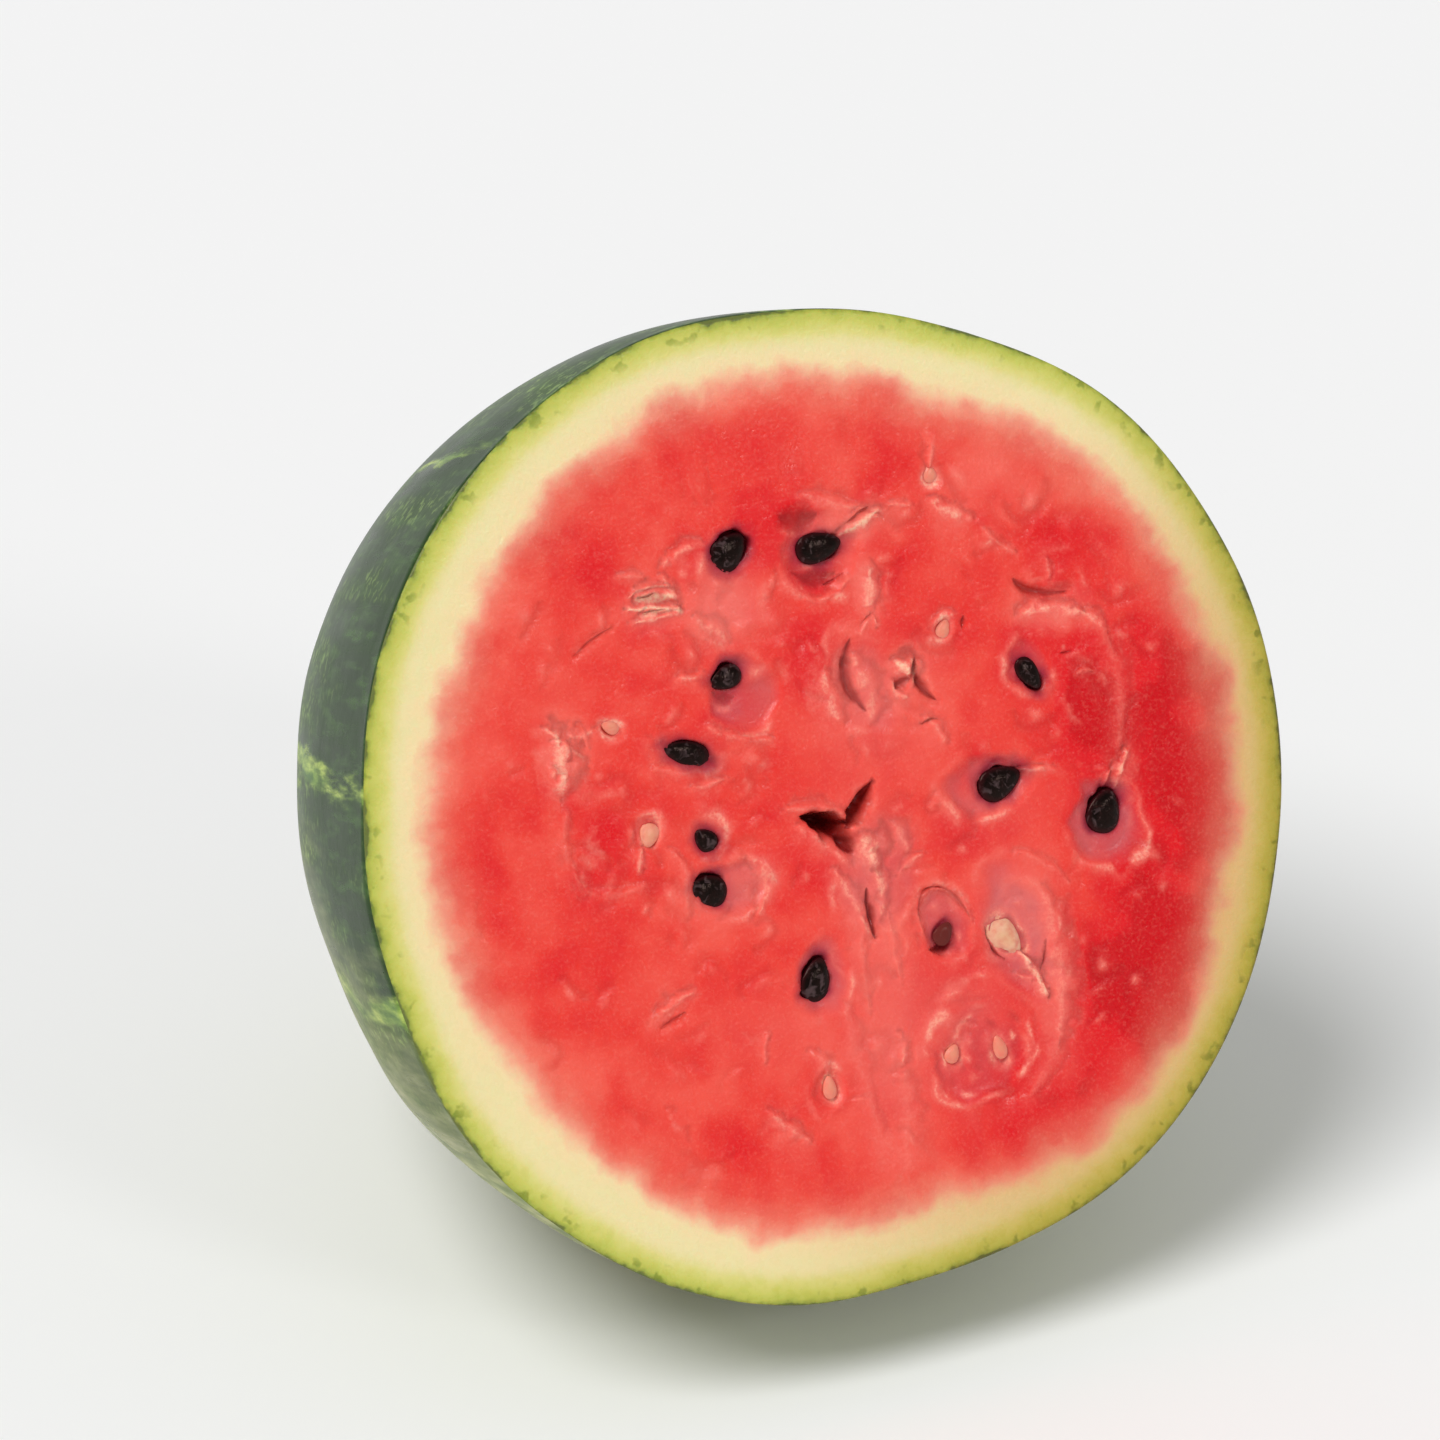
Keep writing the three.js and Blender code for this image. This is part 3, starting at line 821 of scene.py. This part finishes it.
def melon():
    """The whole half as one closed mesh: the cut face, then the skin from its rim round to the far end."""
    face, triangles, patterns = cut_face()
    points, along, angles = skin()
    faces = [tuple(t) for t in triangles]
    faces += skin_faces(len(face) - SKIN_SIDES, len(points))
    mesh = bpy.data.meshes.new("melon_flesh_and_rind")
    world = flattened(placed(*np.concatenate([face, points]).T))
    mesh.from_pydata(world.tolist(), [], faces)
    for name, values in patterns.items():
        keep_pattern(mesh, name, np.concatenate([values, np.full(len(points), values[-1])]))
    around = np.concatenate([np.arctan2(face[:, 1], face[:, 0]), angles])
    length = np.concatenate([-FACE_GRAIN * patterns["from_skin"], along])
    grain = np.stack([CUT_RADIUS * np.cos(around), CUT_RADIUS * np.sin(around), length / SKIN_GRAIN], 1)
    stored = mesh.attributes.new("grain", "FLOAT_VECTOR", "POINT")
    stored.data.foreach_set("vector", grain.ravel().astype(np.float32))
    keep_pattern(mesh, "stripe", stripe_distance(around, length))
    keep_pattern(mesh, "from_tip", along.max() - length)
    slots = np.concatenate([np.zeros(len(triangles), int), np.ones(len(faces) - len(triangles), int)])
    mesh.polygons.foreach_set("material_index", slots)
    return shown("melon_flesh_and_rind", mesh)


def stripe_distance(around, length):
    """Distance to the nearest pale stripe, mm at the half's widest. They run from the cut to the far end."""
    random = np.random.default_rng(5)
    best = np.full(len(around), 1e9)
    for degrees, breadth in STRIPES:
        sway = random.uniform(0.02, 0.05) * np.sin(length / random.uniform(18, 34) + random.uniform(0, 6))
        off = np.abs(np.angle(np.exp(1j * (around - math.radians(degrees) - sway)))) * CUT_RADIUS
        best = np.minimum(best, off / breadth)
    return best


def seed_body(name, node):
    """One seed: a flat teardrop with a groove inside its thick edge, in its CAD solid's place."""
    seed = SEEDS[node]
    around, rings = SEED_SIDES, SEED_RINGS
    thick = (seed["top"] - seed["bottom"]) / 2
    theta = np.linspace(0, math.pi, rings + 1)[1:-1]
    phi = np.linspace(0, 2 * math.pi, around, endpoint=False)
    t, p = np.meshgrid(theta, phi, indexing="ij")
    u = np.concatenate([[-1], (-np.cos(t)).ravel(), [1]])
    v = np.concatenate([[0], (np.sin(t) * np.cos(p)).ravel(), [0]])
    w = np.concatenate([[0], (np.sin(t) * np.sin(p)).ravel(), [0]])
    edge = np.hypot(u, v)
    # Slimmer towards the stalk end, which is blunt, and full and flat, with a shallow groove inside its edge.
    slim = 1 - 0.3 * u + 0.1 * np.clip(u - 0.8, 0, 1)
    widest = 1.04  # what that makes of the widest place
    w = np.sign(w) * np.abs(w) ** 0.85 * (1 - 0.18 * np.exp(-(((edge - 0.8) / 0.09) ** 2)))
    w *= 1 + 0.05 * humps(u * 8, v * 8, 2, int(seed["long"] * 100))
    c, s = math.cos(seed["turn"]), math.sin(seed["turn"])
    across = v * slim * seed["wide"] / widest
    x = seed["middle"][0] + u * seed["long"] * c - across * s
    y = seed["middle"][1] + u * seed["long"] * s + across * c
    z = (seed["top"] + seed["bottom"]) / 2 + SEED_LIFT + w * thick
    faces = [(0, 1 + (k + 1) % around, 1 + k) for k in range(around)]
    for ring in range(rings - 2):
        a = 1 + ring * around
        for k in range(around):
            n = (k + 1) % around
            faces.append((a + k, a + n, a + around + n, a + around + k))
    a, tip = 1 + (rings - 2) * around, len(u) - 1
    faces += [(a + k, a + (k + 1) % around, tip) for k in range(around)]
    mesh = bpy.data.meshes.new(name)
    mesh.from_pydata(placed(x, y, z).tolist(), [], faces)
    # The smallest seeds of either kind have only begun to colour.
    young = np.full(len(u), 1 - ease(seed["wide"], SMALL_SEED - 0.25, SMALL_SEED))
    keep_pattern(mesh, "edge", edge)
    keep_pattern(mesh, "young", young)
    return shown(name, mesh)


# --- Materials ---


def new_tree(name):
    """A new material's node tree with nothing but its output."""
    material = bpy.data.materials.new(name)
    material.use_nodes = True
    tree = material.node_tree
    for old in list(tree.nodes):
        tree.nodes.remove(old)
    tree.nodes.new("ShaderNodeOutputMaterial")
    return material, tree


def add(tree, kind, inputs=None, stops=None, **settings):
    """Adds a node with its settings, socket values or links and ramp stops. Returns its first output."""
    new = tree.nodes.new("ShaderNode" + kind)
    for name, value in settings.items():
        setattr(new, name, value)
    for name, value in (inputs or {}).items():
        sockets = [s for s in new.inputs if s.enabled]
        socket = sockets[name] if isinstance(name, int) else next(s for s in sockets if s.name == name)
        if isinstance(value, bpy.types.NodeSocket):
            tree.links.new(value, socket)
        else:
            socket.default_value = value
    if stops:
        ramp = new.color_ramp
        while len(ramp.elements) < len(stops):
            ramp.elements.new(0.5)
        for element, (position, colour) in zip(ramp.elements, stops):
            element.position = position
            element.color = srgb(colour) if isinstance(colour, str) else (colour, colour, colour, 1)
    return next(s for s in new.outputs if s.enabled)


def finish_material(tree, shader):
    """Joins a shader to the material's output."""
    output = next(n for n in tree.nodes if n.type == "OUTPUT_MATERIAL")
    tree.links.new(shader, output.inputs["Surface"])


def pattern(tree, name):
    """One of the mesh's patterns, as a number."""
    return add(tree, "Attribute", attribute_name=name).node.outputs["Fac"]


def wet_flesh_and_rind():
    """Freshly cut watermelon: wet, grainy red flesh that lets a little light in, fading through salmon to a
    firm cream and lime rind. Gives the eye a saturated red with soft pale fibres and a wet shine."""
    material, tree = new_tree("wet_flesh_and_rind")
    place = add(tree, "TexCoord").node.outputs["Object"]
    rays = add(tree, "Attribute", attribute_name="grain").node.outputs["Vector"]
    coarse = {"Vector": place, "Scale": 1 / (9 * MM), "Detail": 3.0, "Roughness": 0.6}
    coarse = add(tree, "TexNoise", coarse)
    middle = {"Vector": place, "Scale": 1 / (2.6 * MM), "Detail": 3.0, "Roughness": 0.6}
    middle = add(tree, "TexNoise", middle)
    fine = add(tree, "TexNoise", {"Vector": place, "Scale": 1 / (0.7 * MM), "Roughness": 0.55})
    brush = add(tree, "TexNoise", {"Vector": rays, "Scale": 1 / 8})
    cell = {"Vector": place, "Scale": 1 / (1.2 * MM), "Smoothness": 0.5}
    cells = add(tree, "TexVoronoi", cell, feature="SMOOTH_F1")

    colour = flesh_colour(tree, coarse, middle, fine)
    colour = rind_colour(tree, colour, coarse, middle, brush)

    # Painted shade: a purple red ring round each ripe seed, and a deep dark red inside the hollows, cracks,
    # grooves and low layers.
    shade_reds = {"stain": (0.8, "#8C1636"), "hollow": (0.9, "#5E0A16"), "dark": (0.9, "#76060A")}
    for name, (most, shade_red) in shade_reds.items():
        share = add(tree, "Math", {0: pattern(tree, name), 1: most}, operation="MULTIPLY", use_clamp=True)
        colour = add(tree, "Mix", {"Factor": share, "A": colour, "B": srgb(shade_red)}, data_type="RGBA")

    # Wet grain: broad cells, fine pits.
    bumps = add(tree, "Math", {0: cells, 1: 0.5, 2: fine}, operation="MULTIPLY_ADD")
    bumps = add(tree, "Math", {0: middle, 1: 1.2, 2: bumps}, operation="MULTIPLY_ADD")
    normal = add(tree, "Bump", {"Strength": 0.5, "Distance": 0.14 * MM, "Height": bumps})
    wetter = {"Value": middle, "From Min": 0.35, "From Max": 0.65, "To Min": 0.16, "To Max": 0.42}
    wetter = add(tree, "MapRange", wetter)
    shader = add(
        tree,
        "BsdfPrincipled",
        {
            "Base Color": colour,
            "Roughness": wetter,
            "Normal": normal,
            "IOR": 1.36,
            "Specular IOR Level": 0.3,
            "Subsurface Weight": 0.3,
            "Subsurface Radius": (1.0, 0.25, 0.15),
            "Subsurface Scale": 2.0 * MM,
        },
    )
    finish_material(tree, shader)
    return material


def flesh_colour(tree, coarse, middle, fine):
    """Red flesh: light orange red to crimson in soft patches, the crimson on the right partly painted shade,
    pink film with a painted sheen in the basins, and pale fibres.
    """
    # Soft patches from light orange red to crimson; the crimson along the right is partly painted shade.
    tone = add(tree, "Math", {0: pattern(tree, "tone"), 1: 0.42, 2: 0.02}, operation="MULTIPLY_ADD")
    tone = add(tree, "Math", {0: coarse, 1: 0.45, 2: tone}, operation="MULTIPLY_ADD")
    tone = add(tree, "Math", {0: middle, 1: 0.22, 2: tone}, operation="MULTIPLY_ADD", use_clamp=True)
    stops = [(0, "#ED5648"), (0.34, "#E63C32"), (0.62, "#DE2123"), (0.85, "#DB111B"), (1, "#CA0512")]
    flesh = add(tree, "ValToRGB", {"Fac": tone}, stops=stops)
    pinker = add(tree, "Math", {0: pattern(tree, "pink"), 1: 0.7}, operation="MULTIPLY")
    flesh = add(tree, "Mix", {"Factor": pinker, "A": flesh, "B": srgb("#F07468")}, data_type="RGBA")
    grain = add(tree, "MapRange", {"Value": fine, "From Min": 0.5, "From Max": 0.75, "To Max": 0.16})
    flesh = add(tree, "Mix", {"Factor": grain, "A": flesh, "B": srgb("#F58A78")}, data_type="RGBA")
    # Pink film in the basins, partly a painted sheen.
    film_and_sheen_share = add(tree, "Math", {0: pattern(tree, "film"), 1: 0.72}, operation="MULTIPLY", use_clamp=True)
    flesh = add(tree, "Mix", {"Factor": film_and_sheen_share, "A": flesh, "B": srgb("#C06267")}, data_type="RGBA")
    ragged = {"Value": fine, "From Min": 0.3, "From Max": 0.62, "To Min": 0.65, "To Max": 1.05}
    ragged = add(tree, "MapRange", ragged)
    paler = add(tree, "Math", {0: pattern(tree, "pale"), 1: ragged}, operation="MULTIPLY", use_clamp=True)
    stops = [(0.35, "#F27C6E"), (0.75, "#F6A08A"), (1, "#F8C2A2")]
    fibre = add(tree, "ValToRGB", {"Fac": paler}, stops=stops)
    more = add(tree, "Math", {0: paler, 1: 1.4}, operation="MULTIPLY", use_clamp=True)
    return add(tree, "Mix", {"Factor": more, "A": flesh, "B": fibre}, data_type="RGBA")


def rind_colour(tree, flesh, coarse, middle, brush):
    """The rind round the flesh: salmon, cream, yellow and lime to a thin dark skin line, with olive ticks."""
    # Out of the flesh into the rind over about 12 mm, brushed inwards.
    into = add(tree, "Math", {0: middle, 1: 2.5, 2: pattern(tree, "into_flesh")}, operation="MULTIPLY_ADD")
    into = add(tree, "Math", {0: coarse, 1: 3.5, 2: into}, operation="MULTIPLY_ADD")
    into = add(tree, "Math", {0: brush, 1: 4.0, 2: into}, operation="MULTIPLY_ADD")
    into = add(tree, "MapRange", {"Value": into, "From Min": -3.0, "From Max": 21.0})
    stops = [(0.2, 0.0), (0.28, 0.2), (0.36, 0.5), (0.48, 0.8), (0.66, 0.95), (0.85, 1.0)]
    share = add(tree, "ValToRGB", {"Fac": into}, stops=stops)
    stops = [(0.05, "#E8DAA4"), (0.2, "#EDD6A4"), (0.36, "#F2C2A0")]
    inner = add(tree, "ValToRGB", {"Fac": into}, stops=stops)
    colour = add(tree, "Mix", {"Factor": share, "A": inner, "B": flesh}, data_type="RGBA")

    skinward = add(tree, "Math", {0: middle, 1: 1.6, 2: pattern(tree, "from_skin")}, operation="MULTIPLY_ADD")
    skinward = add(tree, "Math", {0: coarse, 1: 4.0, 2: skinward}, operation="MULTIPLY_ADD")
    skinward = add(tree, "MapRange", {"Value": skinward, "From Min": 2.8, "From Max": 12.8})
    stops = [(0, "#66703A"), (0.04, "#98A244"), (0.13, "#B8BC54"), (0.28, "#C8C763")]
    stops += [(0.48, "#D8D17E"), (0.8, "#E6D8A0")]
    outer = add(tree, "ValToRGB", {"Fac": skinward}, stops=stops)
    place = add(tree, "TexCoord").node.outputs["Object"]
    ticks = add(tree, "TexNoise", {"Vector": place, "Scale": 1 / (3.4 * MM)})
    ticks = add(tree, "MapRange", {"Value": ticks, "From Min": 0.6, "From Max": 0.68})
    near_skin = add(tree, "MapRange", {"Value": pattern(tree, "from_skin"), "From Min": 4.5, "From Max": 1.5})
    ticks = add(tree, "Math", {0: ticks, 1: near_skin}, operation="MULTIPLY")
    ticks = add(tree, "Math", {0: ticks, 1: 0.7}, operation="MULTIPLY")
    outer = add(tree, "Mix", {"Factor": ticks, "A": outer, "B": srgb("#7A8A30")}, data_type="RGBA")
    in_rind = add(tree, "MapRange", {"Value": pattern(tree, "from_skin"), "From Min": 5.0, "From Max": 9.0})
    rind = add(tree, "Mix", {"Factor": in_rind, "A": outer, "B": colour}, data_type="RGBA")

    # Painted warm shade on the lower right side of the rind, where the flesh hasn't begun: a darker ochre
    # tint.
    ochre = add(tree, "Math", {0: share, 1: -1.0, 2: 1.0}, operation="MULTIPLY_ADD", use_clamp=True)
    ochre = add(tree, "Math", {0: ochre, 1: pattern(tree, "ochre")}, operation="MULTIPLY")
    ochre = add(tree, "Math", {0: ochre, 1: 0.8}, operation="MULTIPLY")
    tint = {"Factor": ochre, "A": rind, "B": srgb("#E2C49E")}
    return add(tree, "Mix", tint, data_type="RGBA", blend_type="MULTIPLY")


def waxy_skin():
    """Watermelon skin: smooth and waxy, nearly black green between broken yellow-green stripes, paler below
    (partly its own colour, partly a painted reflection of the white table) and creamy where it lay on the
    ground. Gives the eye a broad soft shine over dark mottled green."""
    material, tree = new_tree("waxy_skin")
    place = add(tree, "TexCoord").node.outputs["Object"]
    up = add(tree, "SeparateXYZ", {"Vector": place}).node.outputs["Z"]
    along = add(tree, "Attribute", attribute_name="grain").node.outputs["Vector"]
    broad = add(tree, "TexNoise", {"Vector": along, "Scale": 1 / 26, "Detail": 4.0, "Roughness": 0.6})
    ragged = add(tree, "TexNoise", {"Vector": along, "Scale": 1 / 9, "Detail": 5.0, "Roughness": 0.65})
    streaks = add(tree, "TexNoise", {"Vector": along, "Scale": 1 / 3.4, "Detail": 4.0, "Roughness": 0.6})
    flecks = add(tree, "TexNoise", {"Vector": place, "Scale": 1 / (2.2 * MM), "Roughness": 0.6})

    base = add(tree, "ValToRGB", {"Fac": broad}, stops=[(0.3, "#162C0C"), (0.5, "#253F14"), (0.7, "#3E5A20")])
    mottle = add(tree, "MapRange", {"Value": streaks, "From Min": 0.5, "From Max": 0.7, "To Max": 0.5})
    base = add(tree, "Mix", {"Factor": mottle, "A": base, "B": srgb("#4A6E30")}, data_type="RGBA")

    # Clusters of small pale flecks.
    cluster = add(tree, "MapRange", {"Value": broad, "From Min": 0.48, "From Max": 0.62})
    flecked = add(tree, "MapRange", {"Value": flecks, "From Min": 0.52, "From Max": 0.64, "To Max": 0.75})
    flecked = add(tree, "Math", {0: flecked, 1: cluster}, operation="MULTIPLY")
    base = add(tree, "Mix", {"Factor": flecked, "A": base, "B": srgb("#86A055")}, data_type="RGBA")

    # Stripes: ragged along their edges, broken up along their length, brightest in their streaks.
    width = add(tree, "Math", {0: ragged, 1: -34.0, 2: pattern(tree, "stripe")}, operation="MULTIPLY_ADD")
    width = add(tree, "Math", {0: broad, 1: -22.0, 2: width}, operation="MULTIPLY_ADD")
    width = add(tree, "Math", {0: streaks, 1: -9.0, 2: width}, operation="MULTIPLY_ADD")
    stripe = {"Value": width, "From Min": -25.0, "From Max": -33.0}
    stripe = add(tree, "MapRange", stripe, interpolation_type="SMOOTHSTEP")
    stops = [(0.35, "#4C7030"), (0.5, "#7A9840"), (0.66, "#B6C860")]
    light = add(tree, "ValToRGB", {"Fac": streaks}, stops=stops)
    colour = add(tree, "Mix", {"Factor": stripe, "A": base, "B": light}, data_type="RGBA")

    # Paler and yellower lower down, partly its own colour, partly a painted reflection of the white table;
    # then creamy where it lay on the ground.
    paler_below_and_reflection = add(tree, "Math", {0: ragged, 1: 60 * MM, 2: up}, operation="MULTIPLY_ADD")
    paler_below_and_reflection = {"Value": paler_below_and_reflection, "From Min": 134 * MM, "From Max": 80 * MM, "To Max": 0.85}
    paler_below_and_reflection = add(tree, "MapRange", paler_below_and_reflection)
    stops = [(0.32, "#78864C"), (0.5, "#9EA46C"), (0.68, "#BEBB8A")]
    dull = add(tree, "ValToRGB", {"Fac": streaks}, stops=stops)
    colour = add(tree, "Mix", {"Factor": paler_below_and_reflection, "A": colour, "B": dull}, data_type="RGBA")
    ground = add(tree, "Math", {0: broad, 1: 12 * MM, 2: up}, operation="MULTIPLY_ADD")
    ground = add(tree, "MapRange", {"Value": ground, "From Min": 14 * MM, "From Max": 8 * MM, "To Max": 0.9})
    cream = add(tree, "ValToRGB", {"Fac": streaks}, stops=[(0.35, "#C9B45C"), (0.6, "#E0D28C")])
    colour = add(tree, "Mix", {"Factor": ground, "A": colour, "B": cream}, data_type="RGBA")

    # The corky brown scar of the flower at the far end.
    cork = add(tree, "Math", {0: flecks, 1: 3.0, 2: pattern(tree, "from_tip")}, operation="MULTIPLY_ADD")
    cork = add(tree, "MapRange", {"Value": cork, "From Min": 7.5, "From Max": 5.5})
    colour = add(tree, "Mix", {"Factor": cork, "A": colour, "B": srgb("#7C6644")}, data_type="RGBA")

    soft = add(tree, "TexNoise", {"Vector": place, "Scale": 1 / (7 * MM)})
    pores = add(tree, "TexNoise", {"Vector": place, "Scale": 1 / (0.7 * MM)})
    height = add(tree, "Math", {0: soft, 1: 6.0, 2: pores}, operation="MULTIPLY_ADD")
    normal = add(tree, "Bump", {"Strength": 0.35, "Distance": 0.05 * MM, "Height": height})
    shine = {"Value": broad, "From Min": 0.3, "From Max": 0.7, "To Min": 0.22, "To Max": 0.36}
    shine = add(tree, "MapRange", shine)
    shine = add(tree, "Math", {0: cork, 1: 0.5, 2: shine}, operation="MULTIPLY_ADD", use_clamp=True)
    # The wax shines face on and turns dull where the skin curves away.
    facing = add(tree, "LayerWeight", {"Blend": 0.5}).node.outputs["Facing"]
    wax = {"Value": facing, "From Min": 0.3, "From Max": 0.8, "To Min": 0.6, "To Max": 0.08}
    wax = add(tree, "MapRange", wax)
    values = {
        "Base Color": colour,
        "Roughness": shine,
        "Normal": normal,
        "IOR": 1.3,
        "Specular IOR Level": wax,
    }
    finish_material(tree, add(tree, "BsdfPrincipled", values))
    return material


def ripe_seed_coat():
    """Ripe watermelon seed coat: hard and wet, black with a dark red edge and painted grey highlights in
    patches, like a thin wet film. Gives the eye a small sharp glint."""
    material, tree = new_tree("ripe_seed_coat")
    place = add(tree, "TexCoord").node.outputs["Object"]
    mottle = add(tree, "TexNoise", {"Vector": place, "Scale": 1 / (1.3 * MM), "Detail": 3.0})
    stops = [(0.35, "#060202"), (0.6, "#120606"), (0.8, "#2A1413")]
    base = add(tree, "ValToRGB", {"Fac": mottle}, stops=stops)
    # Painted grey highlights in patches.
    film = add(tree, "TexNoise", {"Vector": place, "Scale": 1 / (1.9 * MM), "Detail": 3.0, "Distortion": 1.0})
    film = add(tree, "MapRange", {"Value": film, "From Min": 0.56, "From Max": 0.7, "To Max": 0.5})
    base = add(tree, "Mix", {"Factor": film, "A": base, "B": srgb("#5E4C4E")}, data_type="RGBA")
    edge = {"Value": pattern(tree, "edge"), "From Min": 0.72, "From Max": 1.0, "To Max": 0.6}
    edge = add(tree, "MapRange", edge)
    base = add(tree, "Mix", {"Factor": edge, "A": base, "B": srgb("#3C0A12")}, data_type="RGBA")
    young = add(tree, "Math", {0: pattern(tree, "young"), 1: 0.8}, operation="MULTIPLY")
    base = add(tree, "Mix", {"Factor": young, "A": base, "B": srgb("#6E2A26")}, data_type="RGBA")
    normal = add(tree, "Bump", {"Strength": 0.6, "Distance": 0.25 * MM, "Height": mottle})
    values = {
        "Base Color": base,
        "Roughness": 0.18,
        "Normal": normal,
        "IOR": 1.3,
        "Specular IOR Level": 0.32,
        "Specular Tint": srgb("#FFDCCC"),
    }
    finish_material(tree, add(tree, "BsdfPrincipled", values))
    return material


def unripe_seed_coat():
    """Unripe watermelon seed: soft cream, browner in its middle, and pink if it hardly grew. Gives the eye a
    wet, slightly see-through pale spot."""
    material, tree = new_tree("unripe_seed_coat")
    place = add(tree, "TexCoord").node.outputs["Object"]
    mottle = add(tree, "TexNoise", {"Vector": place, "Scale": 1 / (1.5 * MM)})
    stops = [(0.3, "#DE8870"), (0.5, "#E2A184"), (0.75, "#E6B492")]
    base = add(tree, "ValToRGB", {"Fac": mottle}, stops=stops)
    middle = {"Value": pattern(tree, "edge"), "From Min": 0.7, "From Max": 0.2, "To Max": 0.4}
    middle = add(tree, "MapRange", middle)
    base = add(tree, "Mix", {"Factor": middle, "A": base, "B": srgb("#D9AC7C")}, data_type="RGBA")
    young = add(tree, "Math", {0: pattern(tree, "young"), 1: mottle}, operation="MULTIPLY")
    base = add(tree, "Mix", {"Factor": young, "A": base, "B": srgb("#E85C50")}, data_type="RGBA")
    normal = add(tree, "Bump", {"Strength": 0.5, "Distance": 0.2 * MM, "Height": mottle})
    values = {
        "Base Color": base,
        "Roughness": 0.3,
        "Normal": normal,
        "IOR": 1.4,
        "Subsurface Weight": 0.3,
        "Subsurface Radius": (1.0, 0.5, 0.3),
        "Subsurface Scale": 1.0 * MM,
    }
    finish_material(tree, add(tree, "BsdfPrincipled", values))
    return material


def white_table():
    """A plain matt white table top. Gives the eye a clean pale ground with a soft shadow."""
    material, tree = new_tree("white_table")
    shader = add(tree, "BsdfPrincipled", {"Base Color": srgb("#F4F4F4"), "Roughness": 0.6})
    finish_material(tree, shader)
    return material


# --- Camera, light and table ---


def camera():
    """Looks at the half from in front, to its left and above."""
    azimuth, elevation, distance = math.radians(-23.3), math.radians(28.1), 1.5
    flat = math.cos(elevation)
    back = Vector((math.sin(azimuth) * flat, -math.cos(azimuth) * flat, math.sin(elevation)))
    low, high = (Vector(p) for p in cad_box)
    target = (low + high) / 2
    data = bpy.data.cameras.new("camera")
    data.lens = 172
    data.sensor_width = 36
    made = bpy.data.objects.new("camera", data)
    bpy.context.scene.collection.objects.link(made)
    made.location = target + back * distance
    made.rotation_euler = (-back).to_track_quat("-Z", "Y").to_euler()
    bpy.context.scene.camera = made


def sunlight(name, way_from, spread, strength):
    """Even light from one way, softened like a big diffuser's: spread is how wide it looks, in degrees."""
    data = bpy.data.lights.new(name, "SUN")
    data.angle = math.radians(spread)
    data.energy = strength
    made = bpy.data.objects.new(name, data)
    made.rotation_euler = Vector(way_from).to_track_quat("Z", "Y").to_euler()
    bpy.context.scene.collection.objects.link(made)


def studio():
    """Light all round from a pale sweep, a big soft key from the upper left, a weaker light in front, and a
    white table."""
    scene = bpy.context.scene
    scene.view_settings.view_transform = "Standard"
    scene.world = bpy.data.worlds.new("studio")
    scene.world.use_nodes = True
    tree = scene.world.node_tree
    direction = add(tree, "TexCoord").node.outputs["Generated"]
    height = add(tree, "SeparateXYZ", {"Vector": direction}).node.outputs["Z"]
    # White at the horizon like a studio's paper sweep, greyer overhead.
    sky = add(tree, "ValToRGB", {"Fac": height}, stops=[(0.05, 0.96), (0.16, 0.72), (0.4, 0.44), (1, 0.4)])
    tree.links.new(sky, tree.nodes["Background"].inputs["Color"])
    sunlight("key", (-0.5, -0.22, 0.84), 30, 1.95)
    sunlight("front", (0.3, -0.8, 0.5), 12, 0.35)
    mesh = bpy.data.meshes.new("table")
    reach = 12  # metres, so that it runs out of sight
    square = [(-reach, -reach, 0), (reach, -reach, 0), (reach, reach, 0), (-reach, reach, 0)]
    mesh.from_pydata(square, [], [(0, 1, 2, 3)])
    table = bpy.data.objects.new("table", mesh)
    scene.collection.objects.link(table)
    table.data.materials.append(white_table())


camera()
studio()

half = melon()
half.data.materials.append(wet_flesh_and_rind())
half.data.materials.append(waxy_skin())
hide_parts("melon_half")
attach(half, "root")

coats = {"dark": ("ripe_seed_coat", ripe_seed_coat()), "pale": ("unripe_seed_coat", unripe_seed_coat())}
for node in SEEDS:
    kind, number = node.split("_seed_")
    slot, coat = coats[kind]
    seed = seed_body({"dark": "ripe_seed_", "pale": "unripe_seed_"}[kind] + number, node)
    seed.data.materials.append(coat)
    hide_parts(node)
    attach(seed, "root")
